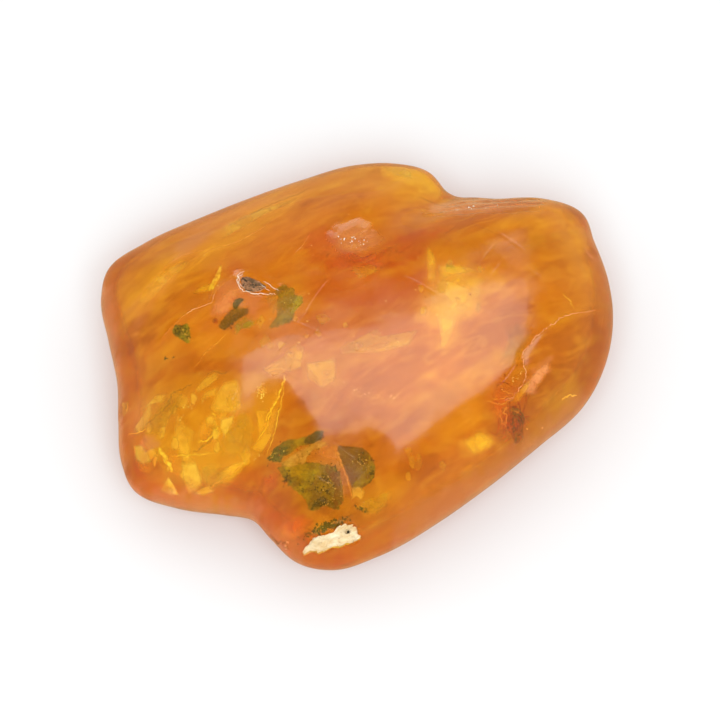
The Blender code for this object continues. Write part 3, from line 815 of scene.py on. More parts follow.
# %% Material of the clear amber
CLEARNESS = 0.86
AMBER_IOR = 1.54
SKIN_SPECULAR = 0.18
COAT_ROUGHNESS = 0.03
ABSORB_COLOUR = (0.978, 0.70, 0.09)
ABSORB_DENSITY = 95.0
TINT_OUTSIDE = (0.60, 0.34, 0.12)
TINT_INSIDE = (1.0, 0.90, 0.78)

def amber_material():
    """Tinted transmission over a volume that absorbs blue; lamp light passes the skin."""
    paint, tree, shader = new_paint("clear_amber")
    out = tree.nodes["Material Output"]
    place = add(tree, "ShaderNodeTexCoord").outputs["Object"]
    marks = {label: add(tree, "ShaderNodeAttribute", attribute_name=label).outputs["Fac"]
             for label in ("golden", "ruddy", "deep", "pale", "rough")}
    gloss, slope = amber_wear(tree, place, marks)
    feed(tree, shader, {
        "Base Color": amber_colour(tree, place, marks),
        "Roughness": gloss,
        "Normal": slope,
        "Transmission Weight": CLEARNESS,
        "IOR": AMBER_IOR,
        "Specular IOR Level": SKIN_SPECULAR,
        "Coat Weight": span(tree, marks["pale"], 0.0, 0.8, 0.26, 1.0),
        "Coat Roughness": COAT_ROUGHNESS,
    })
    drink = add(tree, "ShaderNodeVolumeAbsorption")
    feed(tree, drink, {"Color": ABSORB_COLOUR, "Density": ABSORB_DENSITY})
    feed(tree, out, {"Volume": drink.outputs[0]})
    path = add(tree, "ShaderNodeLightPath")
    tint = blend(tree, path.outputs["Transmission Depth"], TINT_OUTSIDE, TINT_INSIDE)
    let_through = feed(tree, add(tree, "ShaderNodeBsdfTransparent"), {"Color": tint})
    aside = maths(tree, 'MAXIMUM', path.outputs["Is Shadow Ray"], path.outputs["Is Diffuse Ray"])
    show(tree, out, aside, shader, let_through)
    return paint

amber_clear = closed_skin("amber_clear", upper_sheet, lower_sheet, amber_material(), zones)
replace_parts(amber_clear, "amber_upper", "amber_lower")

# %% [markdown]
# ## How the sealed scraps are made
#
# Everything inside is thin or tiny: flakes of leaf, slivers, fracture plates, fibres and grit.
# A flake is two sheets over the same outline, closed at the edge, that follow a surface of the
# stone at some depth. A fibre is a round profile carried along a path, drawn in to a point at
# both ends. Grit is one small lump repeated at many places with its own size and turn, all in
# one mesh. Arrays make each of these in one go.

# %% Tools for inner pieces
def straight_ring(points, angle):
    """Points on a closed polygon, at angles that go once round it."""
    ring = np.array(points, float)
    i, t = ring_place(len(ring), angle)
    return ring[i] * (1 - t) + ring[(i + 1) % len(ring)] * t

def plan_sheet(outline, n, ring=ring_through, fray=0.0, seed=0):
    """Plan places inside an outline: its middle plus share times its ring, torn at the edge."""
    points = np.array(outline, float)
    ahead = np.roll(points, -1, axis=0)
    if np.sum(points[:, 0] * ahead[:, 1] - ahead[:, 0] * points[:, 1]) < 0:
        points = points[::-1]
    middle = points.mean(axis=0)
    share, angle = disc(n)
    edge = ring(points - middle, angle)
    torn = 0.5 + 0.5 * ripple(edge[..., 0], edge[..., 1], 0.0, 0.45, seed)
    reach = share * (1 - fray * share ** 3 * np.clip(torn, 0, 1.5))
    place = middle + reach[..., None] * edge
    return place[..., 0], place[..., 1], share

def sealed_flake(name, outline, depth, thick, paint, slot, n=33, surface=outer_height,
                 ring=ring_through, fray=0.0, curl=0.0, rough=0.0, seed=0):
    """Thin closed flake: surface height minus depth, plus or minus thick/2 * sqrt(1 - share^4)."""
    x, y, share = plan_sheet(outline, n, ring, fray, seed)
    level = surface(x, y) - depth + curl * ripple(x, y, 0.0, 1.6, seed + 1)
    half = 0.5 * thick * np.sqrt(np.clip(1 - share ** 4, 0, 1))
    bumps = rough * ripple(x, y, 0.0, 0.35, seed + 2)
    top = np.stack([x, y, level + half * (1 + bumps)], -1)
    bottom = np.stack([x, y, level - half * (1 - 0.5 * bumps)], -1)
    return closed_skin(name, top, bottom, paint, {"edge": share})

def add_mesh(name, points, faces, paint, slot):
    """A piece from points in millimetres and a list of faces."""
    mesh = bpy.data.meshes.new(name)
    mesh.from_pydata((np.asarray(points) * MM).tolist(), [], faces)
    return add_piece(name, mesh, paint)

def along_path(points, steps):
    """Smooth open curve through a few points: cubic pieces, at evenly shared parameters."""
    path = np.array(points, float)
    path = np.concatenate([[2 * path[0] - path[1]], path, [2 * path[-1] - path[-2]]])
    place = np.linspace(0, len(path) - 3 - 1e-9, steps)
    i = place.astype(int)
    t = (place - i)[:, None]
    return cubic(path[i], path[i + 1], path[i + 2], path[i + 3], t)

def fibre_shape(centre, radius, sides=6, flat=1.0):
    """Round profile carried along centre: radius * sqrt(sin(pi t)), and a point at both ends."""
    steps = len(centre)
    ahead = np.gradient(centre, axis=0)
    ahead /= np.maximum(np.linalg.norm(ahead, axis=1, keepdims=True), 1e-9)
    side = np.cross(ahead, [0.0, 0.0, 1.0])
    side /= np.maximum(np.linalg.norm(side, axis=1, keepdims=True), 1e-9)
    up = np.cross(side, ahead)
    swell_here = radius * np.sqrt(np.sin(math.pi * np.linspace(0.02, 0.98, steps)))
    a = np.linspace(0, math.tau, sides, endpoint=False)
    circle = (np.cos(a)[None, :, None] * side[:, None] + flat * np.sin(a)[None, :, None] * up[:, None])
    body = centre[:, None] + swell_here[:, None, None] * circle
    first = 2 * centre[0] - centre[1]
    last = 2 * centre[-1] - centre[-2]
    ends = np.stack([centre[0] * 0.7 + first * 0.3, centre[-1] * 0.7 + last * 0.3])
    points = np.concatenate([body.reshape(-1, 3), ends])
    i, j = np.indices((steps - 1, sides))
    k = (j + 1) % sides
    walls = np.stack([i * sides + j, (i + 1) * sides + j, (i + 1) * sides + k, i * sides + k], -1)
    tips = [[steps * sides, m, (m + 1) % sides] for m in range(sides)]
    base = (steps - 1) * sides
    tips += [[steps * sides + 1, base + (m + 1) % sides, base + m] for m in range(sides)]
    return points, walls.reshape(-1, 4).tolist() + tips

def gather(shapes):
    """Join several (points, faces) pairs into one."""
    points, faces, count = [], [], 0
    for some_points, some_faces in shapes:
        points.append(some_points)
        faces += [[index + count for index in face] for face in some_faces]
        count += len(some_points)
    return np.concatenate(points), faces

def sink_path(path, depth, steps, surface=outer_height, wobble=0.0):
    """A smooth plan path laid at a depth under a surface, shaken sideways by wobble * waves."""
    plan = np.array(path, float)
    depths = np.broadcast_to(np.asarray(depth, float), (len(plan),))
    line = along_path(np.column_stack([plan, depths]), steps)
    x = line[:, 0] + wobble * ripple(line[:, 0], line[:, 1], 0.0, 0.55, 51)
    y = line[:, 1] + wobble * ripple(line[:, 0], line[:, 1], 0.0, 0.40, 52)
    return np.column_stack([x, y, surface(x, y) - line[:, 2]])

GRAIN_SIDES = 6
GRAIN_RINGS = (-0.7, 0.0, 0.7)

def grain_shape():
    """One small lump: three rings of points with a point under and one over them."""
    around = np.arange(GRAIN_SIDES) * math.tau / GRAIN_SIDES
    tall, turn = np.meshgrid(GRAIN_RINGS, around, indexing="ij")
    wide = np.sqrt(1 - tall ** 2)
    rings = np.stack([wide * np.cos(turn), wide * np.sin(turn), tall], -1).reshape(-1, 3)
    last = len(rings) - GRAIN_SIDES
    faces = []
    for j in range(GRAIN_SIDES):
        k = (j + 1) % GRAIN_SIDES
        for i in range(0, last, GRAIN_SIDES):
            faces.append([i + j, i + k, i + GRAIN_SIDES + k, i + GRAIN_SIDES + j])
        faces.append([len(rings), k, j])
        faces.append([len(rings) + 1, last + j, last + k])
    return np.concatenate([rings, [[0, 0, -1], [0, 0, 1]]]), faces

def grit_shape(centres, sizes, seed):
    """The small lump repeated at many places, each with its own size, stretch and turn."""
    dice = np.random.default_rng(seed)
    unit, faces = grain_shape()
    count = len(centres)
    turn, _ = np.linalg.qr(dice.normal(size=(count, 3, 3)))
    turn *= np.sign(np.linalg.det(turn))[:, None, None]
    stretch = dice.uniform(0.6, 1.5, size=(count, 3)) * np.asarray(sizes)[:, None]
    points = np.einsum("nij,nkj->nki", turn, unit[None] * stretch[:, None]) + centres[:, None]
    every = [[index + first for index in face]
             for first in range(0, count * len(unit), len(unit)) for face in faces]
    return points.reshape(-1, 3), every

def strewn(spots, sizes, seed, surface=outer_height):
    """Places strewn over ovals: each spot is x, y, length, width, turn, count and depth."""
    dice = np.random.default_rng(seed)
    places = []
    for x, y, length, width, turn, count, depth in spots:
        u, v = dice.normal(0, 0.5, size=(2, count))
        c, s = math.cos(math.radians(turn)), math.sin(math.radians(turn))
        across, along = u * length * c - v * width * s, u * length * s + v * width * c
        height = surface(x + across, y + along) - depth - dice.uniform(0, 0.12, count)
        places.append(np.column_stack([x + across, y + along, height]))
    places = np.concatenate(places)
    return grit_shape(places, dice.uniform(*sizes, size=len(places)), seed + 1)

print("points of one grain:", len(grain_shape()[0]))

# %% [markdown]
# ## Leaf, moss, bark and crust
#
# The leaf scraps are brown-green with a fine net of cells, darker where they rotted, and dotted
# with black granules. Moss is greener and rougher, bark is dark and fibrous, and the crust is
# chalk-like. All four are one matte shader with its colours mixed by the shared effects, so one
# function makes them and each gets its own colours and sizes.

# %% Matte materials
def matter(name, light, deep, dark, clouds=900.0, cells=2600.0, grain=(3600.0, 0.34, 0.5),
           stretch=(1.0, 1.0, 1.0), turn=0.0, relief=0.00006, roughness=0.65, cover=1.0,
           contrast=1.6, net=0.30):
    """Matte paint: light and deep mixed by clouds, a net of cells, and dark grains on top.

    With a cover below 1 the tissue is thin enough to let some amber colour through.
    """
    paint, tree, shader = new_paint(name)
    place = add(tree, "ShaderNodeTexCoord").outputs["Object"]
    where = stretched(tree, place, turn, stretch)
    cloud = use_group(tree, MOTTLE, where, Scale=clouds, Detail=6.0, Warp=0.9, Contrast=contrast)
    fine = use_group(tree, MOTTLE, where, Scale=cells * 1.7, Detail=4.0, Warp=0.4, Contrast=1.3)
    web = add(tree, "ShaderNodeTexVoronoi", feature='DISTANCE_TO_EDGE')
    feed(tree, web, {"Vector": where, "Scale": cells})
    walls = span(tree, web.outputs["Distance"], 0.0, 0.12, 1.0, 0.0)
    grains = use_group(tree, GRAINS, place, Scale=grain[0], Grain=grain[1], Cover=grain[2])
    colour = blend(tree, cloud, light, deep)
    for mask, strength in ((fine, 0.35), (walls, net), (grains, 0.85)):
        colour = blend(tree, times(tree, mask, strength), colour, dark)
    bump = add(tree, "ShaderNodeBump")
    feed(tree, bump, {"Strength": 0.7, "Distance": relief,
                      "Height": maths(tree, 'ADD', fine, times(tree, walls, 2 * net))})
    feed(tree, shader, {
        "Base Color": colour,
        "Roughness": span(tree, fine, 0.0, 1.0, roughness - 0.12, roughness + 0.15),
        "Specular IOR Level": 0.25,
        "Normal": bump.outputs[0],
    })
    if cover < 1:
        feed(tree, shader, {"Alpha": span(tree, cloud, 0.0, 1.0, 1.0, cover - 0.2)})
    return paint

LEAF = matter("leaf_tissue", (0.45, 0.34, 0.010), (0.25, 0.145, 0.006), (0.035, 0.025, 0.004),
              clouds=620.0, grain=(2300.0, 0.33, 0.44), contrast=2.6)
LEAF_DARK = matter("leaf_rotted", (0.30, 0.24, 0.015), (0.085, 0.062, 0.005), (0.012, 0.011, 0.004),
                   clouds=1500.0, grain=(2600.0, 0.42, 0.60), contrast=3.0)
LEAF_TAN = matter("leaf_fold", (0.76, 0.46, 0.34), (0.54, 0.32, 0.10), (0.26, 0.15, 0.04),
                  stretch=(2.5, 1.0, 1.0), turn=18.0)
LEAF_GOLD = matter("leaf_bright", (0.58, 0.44, 0.010), (0.42, 0.30, 0.008), (0.08, 0.06, 0.004),
                   clouds=900.0, grain=(2300.0, 0.25, 0.40))
LEAF_BROWN = matter("leaf_brown", (0.25, 0.115, 0.003), (0.22, 0.060, 0.002), (0.05, 0.020, 0.002),
                    clouds=420.0, grain=(2300.0, 0.30, 0.42), contrast=2.4)
OLIVE = matter("leaf_olive", (0.34, 0.29, 0.015), (0.44, 0.22, 0.012), (0.12, 0.08, 0.005),
               clouds=380.0, grain=(2600.0, 0.22, 0.38), cover=0.78, net=0.12)
MOSS = matter("moss_green", (0.46, 0.50, 0.07), (0.10, 0.12, 0.015), (0.02, 0.028, 0.006),
              clouds=2100.0, cells=3000.0, relief=0.00012, contrast=3.2)
CRUMB = matter("crumb_brown", (0.15, 0.09, 0.006), (0.07, 0.045, 0.005), (0.012, 0.010, 0.004))
BARK = matter("bark_dark", (0.42, 0.20, 0.10), (0.22, 0.105, 0.025), (0.05, 0.028, 0.010),
              stretch=(2.8, 1.0, 1.0), turn=33.0)
BARK_GREY = matter("bark_weathered", (0.56, 0.28, 0.13), (0.26, 0.15, 0.07), (0.06, 0.04, 0.022),
                   clouds=1100.0, stretch=(2.5, 1.0, 1.0), turn=-25.0, contrast=2.6)
BARK_GREEN = matter("bark_greenish", (0.12, 0.12, 0.035), (0.05, 0.05, 0.018), (0.014, 0.013, 0.008))
BARK_RED = matter("bark_red", (0.80, 0.14, 0.006), (0.46, 0.07, 0.004), (0.16, 0.025, 0.003),
                  clouds=1300.0, stretch=(2.5, 1.0, 1.0), turn=-60.0, relief=0.00012, cover=0.85)
GRIT = matter("grit_black", (0.06, 0.045, 0.02), (0.025, 0.02, 0.01), (0.008, 0.007, 0.004))
GREY_GRIT = matter("grit_lavender", (0.62, 0.42, 0.40), (0.40, 0.26, 0.24), (0.12, 0.08, 0.06))
CHALK = matter("chalk_cream", (0.94, 0.79, 0.52), (0.78, 0.55, 0.27), (0.52, 0.36, 0.16),
               clouds=1100.0, cells=1800.0, grain=(2400.0, 0.16, 0.36), stretch=(2.2, 1.0, 1.0), turn=25.0,
               relief=0.00015, roughness=0.8, net=0.05)
print("grey grit and chalk:", GREY_GRIT.name, CHALK.name)

# %% [markdown]
# ## The scraps that replace their plain solids
#
# Each plain solid holds the place of one scrap. The finished scrap lies in the same place on
# the parting surface, with its real torn outline, and replaces the solid.

# %% Leaf scraps
SCRAP_SINK = 0.45
LEAF_MAIN = (
    (-6.68, -13.43), (-6.22, -13.2), (-5.56, -13.1), (-4.79, -13.2), (-4.39, -13.4), (-3.7, -13.53),
    (-2.97, -13.72), (-2.21, -13.96), (-1.6, -14.32), (-1.3, -14.98), (-1.16, -15.69), (-1.1, -16.32),
    (-1.19, -16.85), (-1.64, -17.5), (-2.24, -17.35), (-2.83, -17.1), (-3.56, -17.45), (-4.13, -17.45),
    (-4.28, -17.04), (-4.62, -16.37), (-5.07, -15.9), (-5.75, -15.2), (-6.15, -14.6), (-6.6, -13.9))
LEAF_SHADE = (
    (-2.53, -13.92), (-1.76, -14.42), (-1.46, -15.29), (-1.17, -16.25), (-1.19, -16.87), (-1.72, -17.5),
    (-2.2, -17.3), (-1.85, -16.44), (-2.22, -15.0), (-2.83, -14.44))
LEAF_PATCH = ((-6.3, -13.6), (-5.2, -13.5), (-4.4, -13.7), (-4.5, -14.3), (-5.2, -14.7), (-6.0, -14.4))
LEAF_FOLD = (
    (-6.5, -13.41), (-5.81, -13.0), (-4.97, -12.55), (-3.99, -12.3), (-3.56, -12.0), (-2.98, -11.9),
    (-2.53, -12.25), (-3.43, -12.45), (-3.92, -12.8), (-4.34, -13.25), (-4.5, -13.7), (-5.3, -13.85),
    (-6.11, -13.8))
LEAF_WING = (
    (-7.88, -12.29), (-7.38, -12.0), (-7.14, -11.58), (-6.51, -11.45), (-5.87, -11.35), (-5.52, -11.75),
    (-5.47, -12.17), (-5.8, -12.57), (-6.28, -12.75), (-6.42, -13.1), (-6.98, -12.97), (-7.49, -12.57))
LEAF_BRIDGE = (
    (-6.52, -11.6), (-5.9, -11.3), (-5.08, -11.4), (-4.52, -11.3), (-3.96, -11.68), (-4.1, -12.1),
    (-4.87, -12.1), (-5.49, -12.45), (-6.09, -12.7))
LEAF_ROUND = (
    (-1.71, -12.3), (-0.67, -12.38), (0.44, -12.48), (1.1, -12.9), (1.66, -13.65), (1.8, -14.4),
    (1.62, -15.1), (1.03, -15.6), (-0.11, -16.1), (-0.4, -15.85), (-0.69, -15.15), (-1.21, -14.0),
    (-1.6, -13.17))
LEAF_ROUND_EDGE = (
    (1.3, -13.2), (1.7, -13.8), (1.8, -14.4), (1.6, -15.1), (1.0, -15.6), (-0.1, -16.1), (-0.4, -15.8),
    (0.3, -15.0), (0.9, -14.6), (1.2, -14.1))
LEAF_OLIVE = (
    (-6.97, 3.97), (-6.5, 4.12), (-5.74, 3.6), (-5.55, 2.9), (-4.95, 2.6), (-4.89, 1.75), (-5.5, 1.1),
    (-5.81, -0.05), (-6.73, -0.65), (-8.02, -0.8), (-7.35, 0.2), (-7.3, 1.4), (-7.23, 2.66))
LEAF_HALO = (
    (-8.28, 3.92), (-7.54, 4.57), (-6.9, 3.9), (-7.0, 2.6), (-7.1, 1.0), (-7.5, 0.2), (-8.1, 1.3),
    (-8.4, 2.64))
MOSS_FLAKE = (
    (-16.6, 0.59), (-16.41, 0.9), (-15.86, 0.8), (-15.31, 0.85), (-14.99, -0.29), (-15.01, -1.18),
    (-15.32, -1.3), (-15.89, -0.72), (-16.55, -0.09))
BARK_BLADE = (
    (-11.35, 1.65), (-10.75, 1.75), (-9.95, 1.65), (-9.8, 1.15), (-10.4, 0.65), (-11.15, 0.12),
    (-11.87, -0.46), (-12.43, -0.25), (-12.4, 0.32), (-12.0, 0.92))

def scrap(name, outline, paint, slot, thick=0.3, n=61, depth=SCRAP_SINK, **more):
    """A torn flake on the parting surface."""
    return sealed_flake(name, outline, depth, thick, paint, slot, n, parting_height, **more)

leaf_body = scrap("leaf_body", LEAF_MAIN, LEAF, "leaf_scrap", n=81, fray=0.07, curl=0.06, rough=0.3,
                  seed=21)
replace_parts(leaf_body, "leaf_scrap_large")
leaf_wing = scrap("leaf_wing", LEAF_WING, LEAF_DARK, "leaf_scrap", fray=0.15, curl=0.05, rough=0.5,
                  seed=22)
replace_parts(leaf_wing, "leaf_scrap_wing")
leaf_disc = scrap("leaf_disc", LEAF_ROUND, LEAF_BROWN, "leaf_scrap", fray=0.04, curl=0.05, rough=0.3,
                  seed=23)
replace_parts(leaf_disc, "leaf_scrap_round")
scrap("leaf_disc_edge", LEAF_ROUND_EDGE, OLIVE, "leaf_scrap", thick=0.1, depth=0.22, n=41, fray=0.2, seed=29)
scrap("leaf_shade", LEAF_SHADE, LEAF_BROWN, "leaf_scrap", thick=0.1, depth=0.22, n=41, fray=0.3, seed=30)
scrap("leaf_patch", LEAF_PATCH, LEAF_GOLD, "leaf_scrap", thick=0.1, depth=0.24, n=41, fray=0.3, seed=36)
leaf_olive = scrap("leaf_olive", LEAF_OLIVE, OLIVE, "leaf_scrap", fray=0.10, curl=0.06, rough=0.3, seed=24)
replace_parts(leaf_olive, "leaf_scrap_olive")
moss_tuft = scrap("moss_tuft", MOSS_FLAKE, MOSS, "moss", fray=0.12, curl=0.05, rough=0.8, seed=25)
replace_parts(moss_tuft, "moss_flake")
bark_leaf = scrap("bark_splinter", BARK_BLADE, BARK, "dark_bark", fray=0.08, curl=0.03, rough=0.5, seed=26)
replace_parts(bark_leaf, "bark_blade")
scrap("leaf_fold", LEAF_FOLD, LEAF_TAN, "leaf_scrap", thick=0.12, depth=0.10, fray=0.10, curl=0.03, seed=27)
scrap("leaf_bridge", LEAF_BRIDGE, LEAF, "leaf_scrap", thick=0.16, depth=0.40, n=41, fray=0.12, seed=28)

# %% [markdown]
# ## Bark, the sliver in its chip, and the crust
#
# Not all of the litter is flat. The knot and the crumbs are lumps of bark, so they are swollen
# forms with uneven sides, and the curved crumb is a bent rod. The sliver and the chalky crust lie
# open at the surface: they follow the outer skin instead of the parting, so that they end in it.

# %% Bark lumps, the sliver in its chip, and the crust
def rough_lump(name, place, sink, half, turn, paint, seed, surface=parting_height, n=41):
    """Uneven lump: sheets at sink under a surface, height half * sqrt(1 - share^2) * (1 + waves)."""
    share, angle = disc(n)
    out = np.sin(share * math.pi / 2)
    c, s = math.cos(math.radians(turn)), math.sin(math.radians(turn))
    bent = 1 + 0.10 * np.sin(3 * angle + seed) + 0.06 * np.sin(7 * angle + 2 * seed)
    u, v = out * bent * half[0] * np.cos(angle), out * bent * half[1] * np.sin(angle)
    x, y = place[0] + u * c - v * s, place[1] + u * s + v * c
    rise = np.sqrt(np.clip(1 - out ** 2, 0, 1)) * half[2]
    waves = 1 + 0.28 * ripple(x, y, 0.0, 0.6, seed) + 0.12 * ripple(x, y, 0.0, 0.22, seed + 1)
    level = surface(x, y) - sink
    top = np.stack([x, y, level + rise * waves], -1)
    bottom = np.stack([x, y, level - rise], -1)
    return closed_skin(name, top, bottom, paint, {"edge": share})

crumb = rough_lump("leaf_crumb", (-3.7, -11.6), 0.25, (0.84, 0.46, 0.30), 22, CRUMB, 31)
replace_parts(crumb, "bark_crumb")
knot = rough_lump("red_knot", (14.0, -8.2), 0.62, (0.95, 1.2, 0.5), 15, BARK_RED, 32, n=61)
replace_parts(knot, "bark_knot")
comma_path = sink_path(((-11.0, 1.6), (-10.98, 2.15), (-10.75, 2.5), (-10.3, 2.6)), 0.25, 24, parting_height)
comma = add_mesh("bark_hook", *fibre_shape(comma_path, 0.33, 12, 0.7), BARK_GREEN, "dark_bark")
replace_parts(comma, "bark_comma")
rough_lump("bark_dot", (-12.8, 0.55), 0.2, (0.24, 0.3, 0.2), 20, BARK_RED, 37, n=21)

SLIVER = (
    (-10.72, 4.55), (-10.35, 4.85), (-9.68, 4.6), (-8.92, 4.05), (-8.4, 3.5), (-8.7, 3.05), (-9.3, 2.9),
    (-9.9, 2.95), (-10.55, 3.5))
sliver = sealed_flake("chip_sliver", SLIVER, 0.42, 0.30, BARK_GREY, "dark_bark", 51, fray=0.08,
                      rough=0.9, seed=33)
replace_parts(sliver, "bark_sliver")

CRUST_HOLE = (-0.8, -19.95, 0.30, 0.22, 20.0)
CRUST_SINK = 0.10
CRUST_BODY = 0.42

def crust_piece():
    """Chalky crust: its top is close under the stone's surface, in lumps, with one small hole."""
    x, y, share = plan_sheet(CRUST, 91, ring_through, 0.10, 34)
    skin = outer_height(x, y)
    steep = 1 - soft_step(0.0, 0.1, 1 - share_and_angle(x, y)[0])
    lumps = 0.09 * ripple(x, y, 0.0, 0.9, 35) + 0.07 * np.abs(ripple(x, y, 0.0, 0.35, 36))
    hole = np.clip(1 - oval(x, y, *CRUST_HOLE) ** 4, 0, 1)
    edge = np.sqrt(np.clip(1 - share ** 8, 0, 1))
    rise = CRUST_SINK + 0.34 * steep + np.clip(lumps, -0.18, 0.14) - CRUST_BODY * hole
    top = skin - CRUST_SINK + rise * edge
    low = skin - CRUST_SINK - CRUST_BODY * edge
    return closed_skin("crust_chalk", np.stack([x, y, top], -1), np.stack([x, y, low], -1),
                       CHALK, {"edge": share})

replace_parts(crust_piece(), "chalk_crust")

# %% [markdown]
# ## Grit and fibres
#
# Litter breaks up: black and pale granules lie round every scrap, and the knot trails fibres.
# Hundreds of separate objects would be slow, so all grains of a kind are one mesh, and chance
# with a fixed seed strews them over ovals where the photograph shows them thickest.

# %% Grit and fibres
WIDEST_SHARE = 0.90

def held_inside(path, most):
    """Path points drawn towards the middle, so that none passes a share of the plan radius."""
    path = np.array(path)
    share, _ = share_and_angle(path[:, 0], path[:, 1])
    return path * np.minimum(1.0, most / np.maximum(share, 1e-6))[:, None]

def short_fibres(spot, count, heading, spread, length, depths, radii, seed):
    """Short bent fibres strewn over an oval: their places, headings, bends and sizes vary."""
    dice = np.random.default_rng(seed)
    middle_x, middle_y, wide, high = spot
    shapes = []
    for _ in range(count):
        x, y = middle_x + dice.normal(0, wide), middle_y + dice.normal(0, high)
        way = math.radians(dice.normal(heading, spread))
        bend = dice.normal(0, 0.5)
        steps = np.linspace(-0.5, 0.5, 4) * dice.uniform(*length)
        path = [(x + s * math.cos(way + bend * s), y + s * math.sin(way + bend * s)) for s in steps]
        path = held_inside(path, WIDEST_SHARE)
        shapes.append(fibre_shape(sink_path(path, dice.uniform(*depths), 12), dice.uniform(*radii)))
    return shapes

DARK_GRIT = (   # x, y, half length, half width, turn, count, depth under the parting surface
    (-3.2, -16.95, 1.1, 0.28, 6.0, 90, 0.16),
    (-7.0, -12.3, 0.8, 0.40, 30.0, 90, 0.14),
    (-3.7, -11.7, 0.7, 0.30, 22.0, 40, 0.10),
    (-6.1, -14.4, 0.35, 0.7, 0.0, 40, 0.16),
    (1.45, -14.7, 0.25, 0.6, -15.0, 40, 0.12),
    (0.5, -13.5, 0.7, 0.6, 0.0, 16, 0.14),
    (-2.9, -15.4, 1.5, 1.2, 0.0, 70, 0.14),
    (-1.9, -14.2, 0.4, 0.4, -40.0, 16, 0.14),
    (-4.4, -12.9, 0.9, 0.3, 20.0, 16, 0.06),
    (-15.9, 0.1, 0.5, 0.4, -30.0, 36, 0.12),
    (-11.4, -0.2, 0.7, 0.3, 35.0, 14, 0.14),
    (-6.4, -0.2, 0.8, 0.3, 10.0, 14, 0.14),
    (14.2, -9.2, 0.6, 0.5, 0.0, 16, -0.10),
)
PALE_GRIT = (
    (-2.6, -16.9, 1.0, 0.25, 8.0, 16, 0.10),
    (-7.0, -12.3, 0.6, 0.25, 30.0, 14, 0.08),
    (0.5, -13.7, 0.7, 0.5, 0.0, 18, 0.08),
    (-2.2, -15.4, 1.2, 1.0, 0.0, 14, 0.08),
    (-15.7, -0.2, 0.6, 0.5, -50.0, 34, 0.06),
    (-15.2, -1.0, 0.2, 0.25, 0.0, 10, 0.06),
    (-5.6, 1.2, 0.3, 0.9, 0.0, 8, 0.10),
)
STRIP_GRIT = (   # as above, but the depth is under the outer skin
    (-2.7, -19.0, 1.8, 0.26, 15.0, 200, 1.3),
    (0.5, -17.9, 0.7, 0.12, -18.0, 26, 1.1),
    (-17.3, -2.9, 0.4, 0.18, 10.0, 8, 1.0),
    (-0.8, -19.95, 0.12, 0.08, 0.0, 7, 0.05),
)
STRIP_PALE = (
    (-1.2, -18.6, 1.0, 0.22, 15.0, 40, 1.2),
    (-3.6, -19.4, 0.6, 0.16, 15.0, 12, 1.2),
)
add_mesh("dark_grit", *strewn(DARK_GRIT, (0.035, 0.085), 42, parting_height), GRIT, "dark_bark")
add_mesh("pale_grit", *strewn(PALE_GRIT, (0.03, 0.065), 43, parting_height), CHALK, "cream_crust")
add_mesh("strip_grit", *strewn(STRIP_GRIT, (0.045, 0.10), 46), GRIT, "dark_bark")
add_mesh("strip_pale", *strewn(STRIP_PALE, (0.04, 0.09), 47), GREY_GRIT, "cream_crust")
knot_fibres = short_fibres((13.8, -8.0, 0.9, 1.1), 26, -40, 45, (0.8, 2.0), (1.6, 2.4), (0.03, 0.07), 41)
add_mesh("knot_fibres", *gather(knot_fibres), BARK_RED, "red_bark")

# %% [markdown]
# ## Fracture plates, veils and glints
#
# Inside the real stone, strain opened flat cracks. Each one mirrors the light as a plate of
# brighter gold, some as a thin bright curve where the plate is seen on edge. Here that mirrored
# light is painted: the plates and curves carry bright matte colour, partly the cracks' own gold
# and partly painted reflection. Cloudy veils of tiny bubbles lie between them. They could be drawn
# into the skin's colour, but then they would stay on the surface when the stone is turned. Here
# they are thin see-through flakes and fibres at their own depths, so they shift against the skin
# as real ones do.

# %% See-through paints for flaws
def veil(name, bright, mellow, cover, clouds=1500.0, fade=0.0, shine=0.4):
    """Thin see-through paint: two tones mixed by clouds; alpha follows them and fades at the edge."""
    paint, tree, shader = new_paint(name)
    place = add(tree, "ShaderNodeTexCoord").outputs["Object"]
    cloud = use_group(tree, MOTTLE, place, Scale=clouds, Detail=5.0, Warp=0.8, Contrast=1.5)
    alpha = span(tree, cloud, 0.0, 0.8, cover * 0.55, cover)
    if fade:
        edge = add(tree, "ShaderNodeAttribute", attribute_name="edge").outputs["Fac"]
        alpha = times(tree, alpha, span(tree, edge, 1 - fade, 1.0, 1.0, 0.0))
    feed(tree, shader, {
        "Base Color": blend(tree, cloud, mellow, bright),
        "Alpha": alpha,
        "Roughness": span(tree, cloud, 0.0, 1.0, shine, shine + 0.2),
        "Specular IOR Level": 0.3,
    })
    return paint

# Plate paints: their gold is partly the plates' own tint and partly a painted reflection of the light that a
# real crack mirrors.
GOLD_PLATE = veil("plate_gold", (0.92, 0.60, 0.20), (0.76, 0.42, 0.08), 0.60, clouds=500.0, fade=0.5)
PALE_PLATE = veil("plate_pale", (0.92, 0.68, 0.30), (0.84, 0.52, 0.14), 0.60, clouds=500.0, fade=0.45)
TILE_GOLD = veil("tile_gold", (0.88, 0.52, 0.08), (0.76, 0.36, 0.04), 0.50, clouds=600.0, fade=0.2)
MUSTARD_HAZE = veil("haze_mustard", (0.66, 0.33, 0.03), (0.50, 0.21, 0.015), 0.60, clouds=700.0, fade=0.7)
GOLD_HAZE = veil("haze_gold", (1.0, 0.68, 0.09), (0.90, 0.52, 0.05), 0.50, clouds=700.0, fade=0.8)
